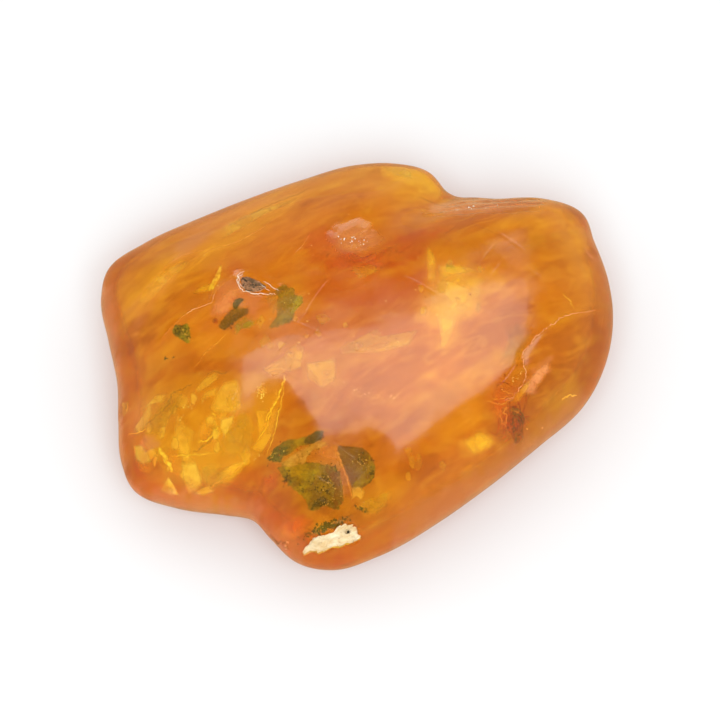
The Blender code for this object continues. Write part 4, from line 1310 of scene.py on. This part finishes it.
# Painted shade: a red-brown veil that darkens the vein beside the crack.
SHADE_HAZE = veil("haze_brown_shade", (0.52, 0.19, 0.01), (0.36, 0.11, 0.006), 0.55, clouds=900.0, fade=0.8)
ORANGE_HAZE = veil("haze_orange", (0.82, 0.32, 0.02), (0.66, 0.20, 0.01), 0.48, clouds=900.0, fade=0.6)
RED_HAZE = veil("haze_red", (0.86, 0.24, 0.03), (0.70, 0.15, 0.02), 0.50, clouds=900.0, fade=0.8)
PINK_HAZE = veil("haze_pink", (1.0, 0.56, 0.34), (0.95, 0.42, 0.22), 0.60, clouds=1200.0, fade=0.6)
LIME_HAZE = veil("haze_lime", (0.42, 0.42, 0.012), (0.44, 0.31, 0.010), 0.75, clouds=1400.0, fade=0.7)
# Painted glint: bright gold paint for arcs, the flame and crack edges that catch the light.
EDGE_LIGHT = veil("edge_light", (1.0, 0.80, 0.22), (1.0, 0.62, 0.08), 0.92, clouds=2200.0)
# Pale line paint: a painted glint where it draws crack lines, creases and bright spots; on scratches,
# threads and fibres it is their own pale colour.
PALE_LINE_AND_GLINT = veil("edge_pale_and_glint", (1.0, 0.56, 0.26), (0.94, 0.40, 0.12), 0.62, clouds=2400.0)
# Painted glint: near-white paint for sparkles and for the chip's rim, in place of light caught by tiny
# facets and the broken edge.
SPARK = veil("spark", (1.0, 0.95, 0.80), (1.0, 0.86, 0.62), 1.0, clouds=3000.0)
# Painted shade: dark lines in cracks and creases, where the light doesn't reach.
DARK_LINE = veil("crevice", (0.42, 0.15, 0.01), (0.26, 0.08, 0.006), 0.36, clouds=1400.0)

print("last see-through paint:", DARK_LINE.name)

# %% [markdown]
# ## Fracture plates and veils
#
# A plate has straight sides, because amber breaks along flat faces, and a veil has a frayed
# rim, because it is a cloud. The large ones are outlines that follow the photograph. Between
# them lie dozens of small ones, which chance places with a few corners each.

# %% Plates and veils
PLATES = {      # name: (depth under the skin in mm, paint, outline)
    "plate_diamond": (1.0, GOLD_PLATE, (
        (-16.3, -8.5), (-15.6, -9.4), (-14.5, -10.5), (-14.9, -11.6), (-15.2, -12.6), (-16.1, -12.2),
        (-16.6, -10.9), (-16.7, -9.6))),
    "plate_trapezoid": (0.9, PALE_PLATE, (
        (-16.1, -12.6), (-14.6, -12.7), (-14.1, -13.8), (-13.9, -14.5), (-14.6, -14.8), (-15.4, -14.9),
        (-15.9, -13.9))),
    "plate_wedge": (0.7, PALE_PLATE, (
        (-17.2, -13.5), (-16.5, -14.3), (-16.1, -14.9), (-17.1, -14.7), (-18.1, -14.3))),
    "plate_high": (1.2, GOLD_PLATE, (
        (-14.8, -6.8), (-13.9, -5.8), (-12.6, -5.2), (-12.3, -5.9), (-13.4, -6.7), (-14.4, -7.2))),
    "plate_broad": (1.2, GOLD_PLATE, (
        (-12.0, -6.2), (-10.7, -6.2), (-10.3, -7.3), (-10.5, -8.6), (-11.0, -9.4), (-12.9, -9.2),
        (-13.4, -8.6), (-12.7, -7.2))),
    "plate_tail": (1.0, PALE_PLATE, (
        (-12.3, -9.7), (-11.0, -9.4), (-11.2, -10.3), (-12.0, -11.2), (-12.5, -10.6))),
    "plate_inner": (1.6, GOLD_PLATE, ((-13.8, -7.0), (-12.4, -6.6), (-12.6, -7.5), (-14.2, -7.8))),
    "plate_left": (0.6, PALE_PLATE, (
        (-20.5, -9.0), (-19.3, -7.6), (-18.7, -7.0), (-18.6, -8.3), (-19.2, -9.3), (-20.0, -9.9))),
    "plate_left_high": (0.7, GOLD_PLATE, (
        (-19.9, -7.6), (-18.3, -6.4), (-17.2, -6.6), (-17.6, -7.4), (-18.8, -7.2))),
    "plate_side": (0.5, GOLD_PLATE, ((-21.7, -5.4), (-20.8, -5.9), (-20.9, -7.0), (-21.5, -7.4))),
    "plate_low": (0.7, GOLD_PLATE, (
        (-15.0, -14.9), (-14.2, -14.6), (-13.4, -14.5), (-12.7, -14.9), (-14.0, -15.1))),
    "plate_cream": (0.5, PALE_PLATE, (
        (-20.5, -10.3), (-19.6, -10.6), (-18.9, -11.6), (-18.7, -12.4), (-19.4, -12.6),
        (-20.2, -11.8))),
    "plate_plane": (1.0, TILE_GOLD, (
        (-9.2, -9.0), (-6.7, -8.9), (-6.8, -9.7), (-7.5, -11.2), (-8.5, -12.4), (-9.6, -12.1),
        (-8.8, -11.0))),
    "plate_leaf_side": (0.9, GOLD_PLATE, (
        (-0.5, -16.3), (0.3, -16.2), (0.9, -16.7), (0.5, -17.4), (-0.1, -17.1), (-0.6, -17.5))),
    "plate_far": (0.8, PALE_PLATE, (
        (2.7, 19.6), (4.1, 20.0), (5.2, 19.0), (5.3, 17.8), (4.4, 17.7), (3.4, 18.3))),
    "strip_high": (1.0, GOLD_PLATE, (
        (-13.0, 11.2), (-11.6, 12.6), (-9.9, 13.4), (-7.6, 14.2), (-5.2, 15.1), (-5.6, 14.3),
        (-8.0, 13.1), (-9.7, 11.9), (-11.2, 10.7), (-12.5, 9.8))),
    "tile_left": (1.4, TILE_GOLD, (
        (-4.6, -5.0), (-1.8, -4.6), (-1.8, -6.8), (-3.0, -7.7), (-4.4, -6.7))),
    "tile_middle": (1.4, TILE_GOLD, (
        (-1.6, -3.6), (2.0, -1.4), (2.5, -2.5), (0.1, -3.9), (-1.4, -4.4))),
    "tile_far_left": (1.5, TILE_GOLD, ((-8.6, -5.3), (-5.9, -3.6), (-5.7, -5.6), (-7.7, -6.1))),
    "tile_small": (1.2, TILE_GOLD, (
        (-6.6, -3.9), (-5.4, -2.9), (-4.7, -3.3), (-5.0, -5.6), (-6.2, -6.0))),
    "tile_long": (1.4, TILE_GOLD, (
        (-1.2, -3.0), (4.0, -2.0), (5.8, -1.6), (4.9, -3.3), (2.4, -4.1), (-1.0, -4.3))),
}
VEILS = {
    "star_middle": (1.1, GOLD_HAZE, (
        (6.9, 4.4), (8.0, 5.8), (10.5, 5.6), (12.6, 4.4), (12.0, 1.4), (10.4, -0.8), (8.2, -1.8),
        (6.0, -0.6), (6.4, 2.4))),
    "star_arm_up": (1.0, GOLD_HAZE, (
        (6.5, 7.9), (7.2, 7.4), (7.5, 5.4), (7.4, 3.4), (6.6, 2.8), (6.4, 5.2))),
    "star_arm_down": (1.0, GOLD_HAZE, (
        (7.3, 1.0), (9.4, 0.8), (9.2, -1.4), (8.4, -3.4), (7.6, -4.4), (7.5, -2.6))),
    "star_glow": (0.9, GOLD_HAZE, (
        (7.2, 5.5), (9.1, 5.6), (11.0, 5.3), (11.4, 4.7), (9.1, 4.2), (7.5, 3.6))),
    "flame": (0.7, EDGE_LIGHT, (
        (-13.6, 4.1), (-13.0, 5.4), (-12.5, 6.8), (-12.5, 5.4), (-13.0, 4.0), (-13.6, 3.5))),
    "flame_tail": (0.7, GOLD_HAZE, (
        (-15.3, 3.6), (-14.4, 4.2), (-13.2, 4.6), (-13.0, 3.8), (-14.2, 3.3))),
    "gold_under_leaf": (1.2, MUSTARD_HAZE, (
        (0.2, -17.4), (1.8, -16.8), (3.4, -16.4), (2.8, -17.7), (1.4, -18.4), (0.4, -18.1))),
    "gold_low_right": (0.9, GOLD_HAZE, (
        (9.4, -11.9), (10.3, -10.9), (11.6, -10.4), (12.9, -10.9), (11.8, -12.0), (10.6, -12.6))),
    "orange_by_leaf": (1.7, ORANGE_HAZE, (
        (-3.6, -13.0), (-2.6, -12.4), (-1.7, -13.0), (-1.4, -13.9), (-2.2, -13.9), (-3.2, -13.5))),
    "upper_glow": (0.8, GOLD_HAZE, (
        (-20.6, 4.2), (-18.0, 6.8), (-15.0, 8.6), (-15.2, 7.2), (-17.6, 5.0), (-19.6, 3.0))),
    "dark_pocket": (0.7, ORANGE_HAZE, (
        (-20.3, -11.2), (-19.5, -11.6), (-18.7, -12.1), (-18.3, -12.8), (-18.6, -13.3), (-19.6, -13.0),
        (-20.3, -12.2))),
    "dark_lobe": (1.3, ORANGE_HAZE, (
        (-14.2, -9.4), (-12.8, -9.8), (-12.4, -11.4), (-13.4, -12.4), (-14.4, -11.4))),
    "brown_right_lobe": (1.4, MUSTARD_HAZE, (
        (-11.6, -9.6), (-10.0, -8.4), (-9.0, -9.6), (-9.2, -11.8), (-10.6, -12.8), (-12.4, -12.6),
        (-12.9, -11.8))),
    "brown_left_lobe": (1.2, MUSTARD_HAZE, (
        (-19.2, -8.9), (-17.8, -6.9), (-15.8, -6.2), (-15.6, -7.6), (-16.9, -9.2), (-17.6, -10.6),
        (-18.8, -10.4))),
    "brown_low_lobe": (1.4, MUSTARD_HAZE, (
        (-14.6, -12.8), (-12.4, -12.8), (-11.4, -13.6), (-12.6, -14.6), (-14.2, -14.6))),
    "orange_low_lobe": (1.1, ORANGE_HAZE, (
        (-17.2, -11.2), (-16.4, -11.4), (-15.6, -12.6), (-16.0, -13.6), (-16.8, -13.2),
        (-17.1, -12.2))),
    "gold_low_lobe": (0.8, GOLD_HAZE, (
        (-12.6, -13.6), (-11.0, -13.0), (-9.6, -12.8), (-10.4, -13.8), (-12.2, -14.6))),
    "olive_halo": (2.1, MUSTARD_HAZE, LEAF_HALO),
    "dark_vein": (1.6, SHADE_HAZE, (
        (13.6, -0.4), (15.4, 0.6), (16.4, -1.0), (15.2, -3.4), (13.8, -5.4), (12.6, -4.6),
        (13.4, -2.4))),
    "red_pit": (0.7, RED_HAZE, (
        (-4.0, 7.4), (-2.6, 8.4), (-1.6, 6.2), (0.2, 5.6), (2.6, 6.4), (4.2, 8.2), (5.2, 7.4),
        (3.6, 5.2), (0.8, 4.6), (-2.4, 4.8))),
    "orange_flake": (0.6, TILE_GOLD, ((-0.5, 5.2), (1.5, 5.6), (2.1, 4.8), (0.8, 3.9), (-0.1, 4.2))),
    "red_leaf_side": (0.9, RED_HAZE, (
        (-8.4, -14.2), (-7.0, -14.3), (-6.8, -15.6), (-7.8, -15.9), (-8.6, -15.2))),
    "red_front": (0.5, RED_HAZE, (
        (-7.4, -18.6), (-5.2, -18.0), (-3.6, -19.0), (-5.4, -20.2), (-6.6, -19.9))),
    "red_knot_glow": (1.4, RED_HAZE, (
        (12.2, -6.4), (13.6, -6.0), (14.4, -7.4), (13.8, -9.8), (12.6, -9.8), (12.0, -8.2))),
    "pink_bark": (2.8, PINK_HAZE, (
        (-12.9, 3.3), (-11.6, 4.5), (-10.9, 4.0), (-10.4, 2.9), (-9.4, 2.2), (-9.6, 0.6), (-10.4, 0.6),
        (-11.4, 1.4), (-12.6, 1.0), (-13.2, 1.8))),
    "pink_vein": (0.3, PINK_HAZE, (
        (15.3, -7.2), (16.0, -7.0), (17.6, -4.8), (17.9, -3.5), (16.9, -4.2), (15.7, -5.8))),
    "lime": (1.7, LIME_HAZE, (
        (-11.2, 0.1), (-10.0, 0.8), (-9.0, 0.0), (-9.4, -0.9), (-10.6, -1.0), (-11.0, -1.6),
        (-11.4, -1.0))),
    "olive_rim": (1.5, LIME_HAZE, (
        (-5.4, 2.8), (-4.9, 2.6), (-4.7, 1.8), (-5.1, 1.2), (-5.7, 0.2), (-6.2, 0.2), (-5.9, 1.6))),
    "crack_fill": (0.3, GOLD_HAZE, (
        (13.9, -7.8), (14.9, -6.6), (15.8, -5.6), (16.4, -5.6), (15.6, -6.8), (14.4, -8.2))),
}

for number, (label, (depth, paint, outline)) in enumerate(PLATES.items()):
    sealed_flake(label, outline, depth, 0.06, paint, "clear_amber", 21, ring=straight_ring, seed=60 + number)
for number, (label, (depth, paint, outline)) in enumerate(VEILS.items()):
    sealed_flake(label, outline, depth, 0.08, paint, "clear_amber", 25, fray=0.25, curl=0.04,
                 seed=90 + number)

def small_plates(spot, count, size, seed):
    """Corner lists of small crooked plates: 4 to 6 corners at uneven distances round a middle."""
    dice = np.random.default_rng(seed)
    middle_x, middle_y, wide, high, top_depth, low_depth = spot
    plates = []
    for _ in range(count):
        x, y = middle_x + wide * dice.uniform(-1, 1), middle_y + high * dice.uniform(-1, 1)
        corners = dice.integers(4, 7)
        turns = (np.arange(corners) + dice.uniform(-0.25, 0.25, corners)) * math.tau / corners
        reach = dice.uniform(*size) * dice.uniform(0.6, 1.2, corners)
        stretch = dice.uniform(0.55, 1.0)
        outline = np.column_stack([x + reach * np.cos(turns) * stretch, y + reach * np.sin(turns)])
        plates.append((dice.uniform(top_depth, low_depth), outline))
    return plates

SMALL_PLATES = (      # spot, count, size, seed, paint
    ((-16.0, -10.2, 3.4, 3.2, 0.7, 2.2), 16, (0.35, 0.95), 71, GOLD_PLATE),
    ((-11.5, -10.0, 2.2, 2.6, 0.8, 2.4), 10, (0.35, 0.90), 72, TILE_GOLD),
    ((-4.5, -1.5, 5.0, 1.6, 0.9, 2.2), 9, (0.40, 1.00), 73, TILE_GOLD),
    ((8.5, 2.5, 3.0, 3.4, 0.8, 2.0), 10, (0.40, 0.95), 74, TILE_GOLD),
    ((6.0, -14.2, 2.6, 1.0, 1.2, 2.4), 6, (0.35, 0.80), 75, TILE_GOLD),
)
for batch, (spot, count, size, seed, paint) in enumerate(SMALL_PLATES):
    for number, (depth, outline) in enumerate(small_plates(spot, count, size, seed)):
        sealed_flake(f"chip_plate_{batch}_{number:02d}", outline, depth, 0.05, paint, "clear_amber", 15,
                     ring=straight_ring, seed=200 + 20 * batch + number)

# %% [markdown]
# ## Bright edges, cracks and threads
#
# Where a crack is seen on edge it shines as a thin line, or it looks dark where it swallows the
# light. Both are painted: a bright crack line is a painted glint and a dark one painted shade.
# Each line is a round fibre along a path at its depth under the skin. A little waviness keeps it
# from looking drawn with a ruler.

# %% Bright edges, cracks and threads
LINES = {      # name: (paint, slot, [(depth, radius in mm, path), ...])
    "glint_arcs": (EDGE_LIGHT, "clear_amber", (
        (0.8, 0.07, ((-14.5, -11.5), (-13.7, -11.4), (-13.0, -11.0), (-12.6, -10.5))),
        (0.6, 0.22, ((-18.1, -11.4), (-17.6, -12.0), (-17.2, -12.7), (-16.8, -13.4))),
        (0.6, 0.09, ((-6.5, -6.4), (-6.7, -7.4), (-7.1, -8.4), (-7.6, -9.2), (-8.2, -10.0))),
        (0.6, 0.05, ((-6.4, -6.6), (-6.6, -8.1), (-7.0, -9.9), (-7.5, -11.6), (-8.1, -12.8))),
        (0.9, 0.05, ((-7.1, -7.6), (-7.5, -9.0), (-8.2, -10.5), (-9.0, -11.5))),
        (0.8, 0.05, ((-13.2, -9.3), (-12.9, -9.5), (-12.8, -9.8))),
        (0.9, 0.025, ((12.2, -7.8), (12.9, -7.7), (13.7, -7.3), (14.2, -7.6))),
        (0.9, 0.025, ((13.0, -6.3), (13.3, -6.9), (14.0, -7.0), (14.5, -7.3))),
        (0.3, 0.05, ((18.9, 3.6), (19.3, 3.0), (19.8, 2.5), (20.2, 2.1))),
        (0.4, 0.06, ((18.9, -6.3), (19.4, -5.8), (19.9, -5.5), (20.3, -5.3))),
        (0.5, 0.04, ((-20.8, -9.2), (-20.0, -9.5), (-19.2, -9.4))),
        (0.5, 0.04, ((-16.8, -12.3), (-15.6, -12.4), (-14.3, -12.5), (-12.9, -12.5))),
    )),
    "pale_creases": (PALE_LINE_AND_GLINT, "clear_amber", (
        (0.08, 0.05, CRACK),
        (0.1, 0.05, SEAM),
        (0.4, 0.05, (
            (-11.5, -1.1), (-12.2, -1.9), (-12.9, -2.6), (-13.9, -3.5), (-14.4, -4.3), (-14.9, -4.8))),
        (0.3, 0.05, ((-15.7, 7.2), (-13.3, 8.6), (-11.0, 9.2), (-8.8, 10.8), (-6.9, 12.7))),
        (0.2, 0.05, (
            (-20.6, 3.8), (-19.0, 5.6), (-17.5, 7.3), (-15.9, 8.3), (-13.9, 8.5), (-12.0, 8.4))),
        (0.4, 0.04, ((-9.3, -12.6), (-10.5, -13.4), (-11.4, -14.0), (-12.4, -14.4), (-13.4, -14.8))),
        (0.8, 0.07, ((-1.95, -12.95), (-1.5, -14.1), (-1.0, -15.4), (-0.64, -16.45), (-0.34, -17.6))),
        (0.05, 0.05, ((-5.9, 6.8), (-5.0, 8.0), (-4.3, 9.5))),
    )),
    "dark_crevices": (DARK_LINE, "clear_amber", (
        (0.9, 0.08, ((-12.8, -11.0), (-13.5, -11.5), (-14.3, -11.9), (-14.9, -12.1))),
        (0.5, 0.1, (
            (-15.0, -6.3), (-15.8, -6.6), (-16.8, -6.8), (-17.0, -7.6), (-17.7, -8.2), (-18.3, -8.6),
            (-19.2, -9.1))),
        (0.4, 0.07, ((-11.4, 11.9), (-9.5, 13.3), (-7.6, 14.4), (-5.6, 15.4), (-4.4, 16.4))),
        (1.3, 0.07, ((-13.8, -5.5), (-12.9, -5.2), (-12.2, -5.6), (-11.4, -5.3))),
        (0.36, 0.06, ((5.8, 15.7), (7.0, 15.4), (8.4, 14.7), (10.2, 13.6), (11.6, 14.1))),
        (0.36, 0.06, ((8.9, 12.6), (10.6, 13.0), (12.5, 13.6), (14.9, 13.9), (16.9, 14.1))),
        (0.36, 0.05, ((7.4, 13.6), (9.4, 13.3), (11.4, 13.0), (13.4, 13.0))),
        (0.1, 0.07, ((-7.9, -18.5), (-7.2, -19.3), (-6.6, -19.9), (-6.0, -20.4))),
    )),
    "knot_threads": (PALE_LINE_AND_GLINT, "clear_amber", (
        (0.4, 0.06, ((14.1, -8.55), (14.35, -8.47), (14.65, -8.43), (14.9, -8.45))),
        (0.5, 0.07, (
            (13.3, -8.5), (13.7, -8.4), (13.3, -8.8), (13.65, -8.95), (13.55, -9.4), (13.1, -9.8))),
        (0.6, 0.05, ((13.0, -9.0), (13.2, -9.5), (13.6, -9.7))),
        (0.3, 0.06, ((11.8, -8.3), (12.7, -8.4), (13.4, -8.2), (13.9, -7.9), (14.3, -7.5))),
    )),
    "knot_curls": (BARK, "dark_bark", (
        (1.3, 0.09, ((13.9, -8.1), (14.5, -7.95), (15.0, -8.1), (15.2, -8.4), (15.1, -8.8))),
        (1.4, 0.07, ((14.0, -8.4), (14.5, -8.2), (14.9, -8.4), (15.0, -8.8), (14.9, -9.2))),
        (1.4, 0.06, ((14.1, -8.7), (14.5, -8.5), (14.8, -8.8), (14.7, -9.2))),
        (1.3, 0.06, ((14.6, -9.6), (14.4, -9.9), (14.5, -10.2), (14.2, -10.5))),
        (1.3, 0.05, ((14.9, -9.4), (15.2, -9.7), (15.1, -10.0))),
    )),
    # Painted highlight: pale lines along the chip's broken rim, where it catches the light.
    "chip_rim": (SPARK, "cream_crust", (
        (0.02, 0.035, (
            (-10.4, 5.2), (-10.9, 4.95), (-11.05, 4.1), (-10.65, 3.15), (-10.0, 2.72), (-9.2, 2.45),
            (-8.4, 2.35), (-7.5, 2.3))),
        (0.05, 0.03, ((-10.55, 5.0), (-10.9, 4.5), (-10.8, 3.7), (-10.4, 3.2))),
        (0.04, 0.03, ((-9.9, 2.75), (-9.2, 2.5), (-8.5, 2.45))),
        (0.05, 0.03, ((-8.7, 3.9), (-8.1, 3.5), (-7.6, 3.0), (-7.2, 2.7))),
        (0.2, 0.025, ((-8.9, 3.6), (-8.3, 3.1), (-8.0, 2.7))),
    )),
    "chip_fibres": (PALE_LINE_AND_GLINT, "dark_bark", (
        (0.34, 0.05, ((-10.0, 3.2), (-9.4, 3.3), (-8.9, 3.6))),
        (0.36, 0.04, ((-9.9, 3.0), (-9.3, 2.9), (-8.8, 3.1), (-8.3, 3.4))),
        (0.34, 0.04, ((-9.6, 3.5), (-9.5, 3.1), (-9.2, 2.8))),
        (0.34, 0.04, ((-9.2, 3.5), (-8.9, 3.1), (-8.9, 2.7))),
    )),
}
for label, (paint, slot, threads) in LINES.items():
    shapes = [fibre_shape(sink_path(path, depth, 8 * len(path), wobble=0.07), radius)
              for depth, radius, path in threads]
    add_mesh(label, *gather(shapes), paint, slot)

# %% [markdown]
# ## Sparks, specks and fine scratches
#
# Last come the smallest things that catch the eye: pinpricks of light, painted as pale specks,
# red specks inside, and hair-thin scratches in the pit, in the rind and on the polish. Each could
# be drawn by hand, but the eye only reads how thickly they lie, so chance strews them in the same
# way as the grit.

# %% Sparks and specks
SPARKS = (      # x, y, half length, half width, turn, count, depth under the outer skin
    (-8.7, -8.0, 0.7, 0.6, 0.0, 34, 0.3),
    (-6.35, -20.1, 0.25, 0.1, -60.0, 5, 0.1),
    (15.6, -9.4, 0.06, 0.06, 0.0, 2, 0.3),
    (17.1, -8.7, 0.06, 0.06, 0.0, 2, 0.2),
    (-13.5, 11.1, 0.1, 0.1, 0.0, 2, 0.3),
    (2.35, -13.5, 0.06, 0.06, 0.0, 1, 0.9),
    (-11.3, 4.7, 0.16, 0.16, 0.0, 5, 0.3),
    (-0.1, 8.4, 2.4, 0.9, 0.0, 26, 0.06),
    (10.8, 13.4, 3.2, 0.8, 4.0, 22, 0.06),
    (-16.0, -9.0, 2.6, 0.5, 33.0, 16, 0.5),
    (0.6, -8.4, 0.9, 0.5, 10.0, 12, 0.4),
    (3.4, -9.0, 0.6, 0.4, 10.0, 8, 0.4),
    (14.4, -6.0, 1.2, 0.5, 50.0, 16, 0.4),
    (-9.0, -12.9, 0.6, 0.2, 30.0, 6, 0.3),
    (0.0, 0.0, 16.0, 11.0, 0.0, 60, 0.7),
)
RED_SPECKS = (
    (-12.85, 0.5, 0.2, 0.25, 0.0, 9, 1.5),
    (-7.6, -14.8, 0.4, 0.4, 0.0, 10, 0.9),
    (13.0, -6.4, 0.4, 0.35, 0.0, 9, 1.2),
    (13.4, -6.0, 0.5, 0.4, 0.0, 10, 1.1),
    (-9.1, 0.3, 0.4, 1.0, 10.0, 5, 1.4),
    (-6.0, -12.4, 5.0, 2.2, 20.0, 26, 1.2),
    (4.0, 2.0, 11.0, 8.0, 20.0, 26, 1.0),
)
# Painted glints: small pale spots in place of light caught inside the stone.
PAINTED_GLINT_SPOTS = (
    (-8.7, -7.9, 0.55, 0.55, 0.0, 20, 0.1),
    (-6.3, -20.1, 0.12, 0.10, 0.0, 3, 0.1),
)
add_mesh("sparks", *strewn(SPARKS, (0.03, 0.075), 44), SPARK, "clear_amber")
add_mesh("painted_glint_spots", *strewn(PAINTED_GLINT_SPOTS, (0.06, 0.12), 48), PALE_LINE_AND_GLINT, "clear_amber")
pit_net = short_fibres((0.0, 8.7, 1.0, 0.8), 34, 20, 60, (0.4, 1.4), (0.15, 0.30), (0.015, 0.03), 49)
add_mesh("pit_scratches", *gather(pit_net), PALE_LINE_AND_GLINT, "clear_amber")
rind_net = short_fibres((11.6, 13.6, 2.4, 0.6), 30, 4, 12, (0.8, 2.6), (0.28, 0.40), (0.02, 0.035), 50)
add_mesh("rind_lines", *gather(rind_net), PALE_LINE_AND_GLINT, "clear_amber")
crown_net = short_fibres((-6.0, 8.0, 3.4, 1.6), 24, 30, 10, (0.8, 2.4), (0.10, 0.20), (0.012, 0.020), 56)
add_mesh("crown_scratches", *gather(crown_net), PALE_LINE_AND_GLINT, "clear_amber")
front_net = short_fibres((6.5, -13.6, 1.3, 0.5), 16, 36, 14, (0.4, 1.3), (0.12, 0.22), (0.012, 0.022), 57)
add_mesh("front_scratches", *gather(front_net), PALE_LINE_AND_GLINT, "clear_amber")
add_mesh("red_specks", *strewn(RED_SPECKS, (0.04, 0.09), 45), BARK_RED, "red_bark")
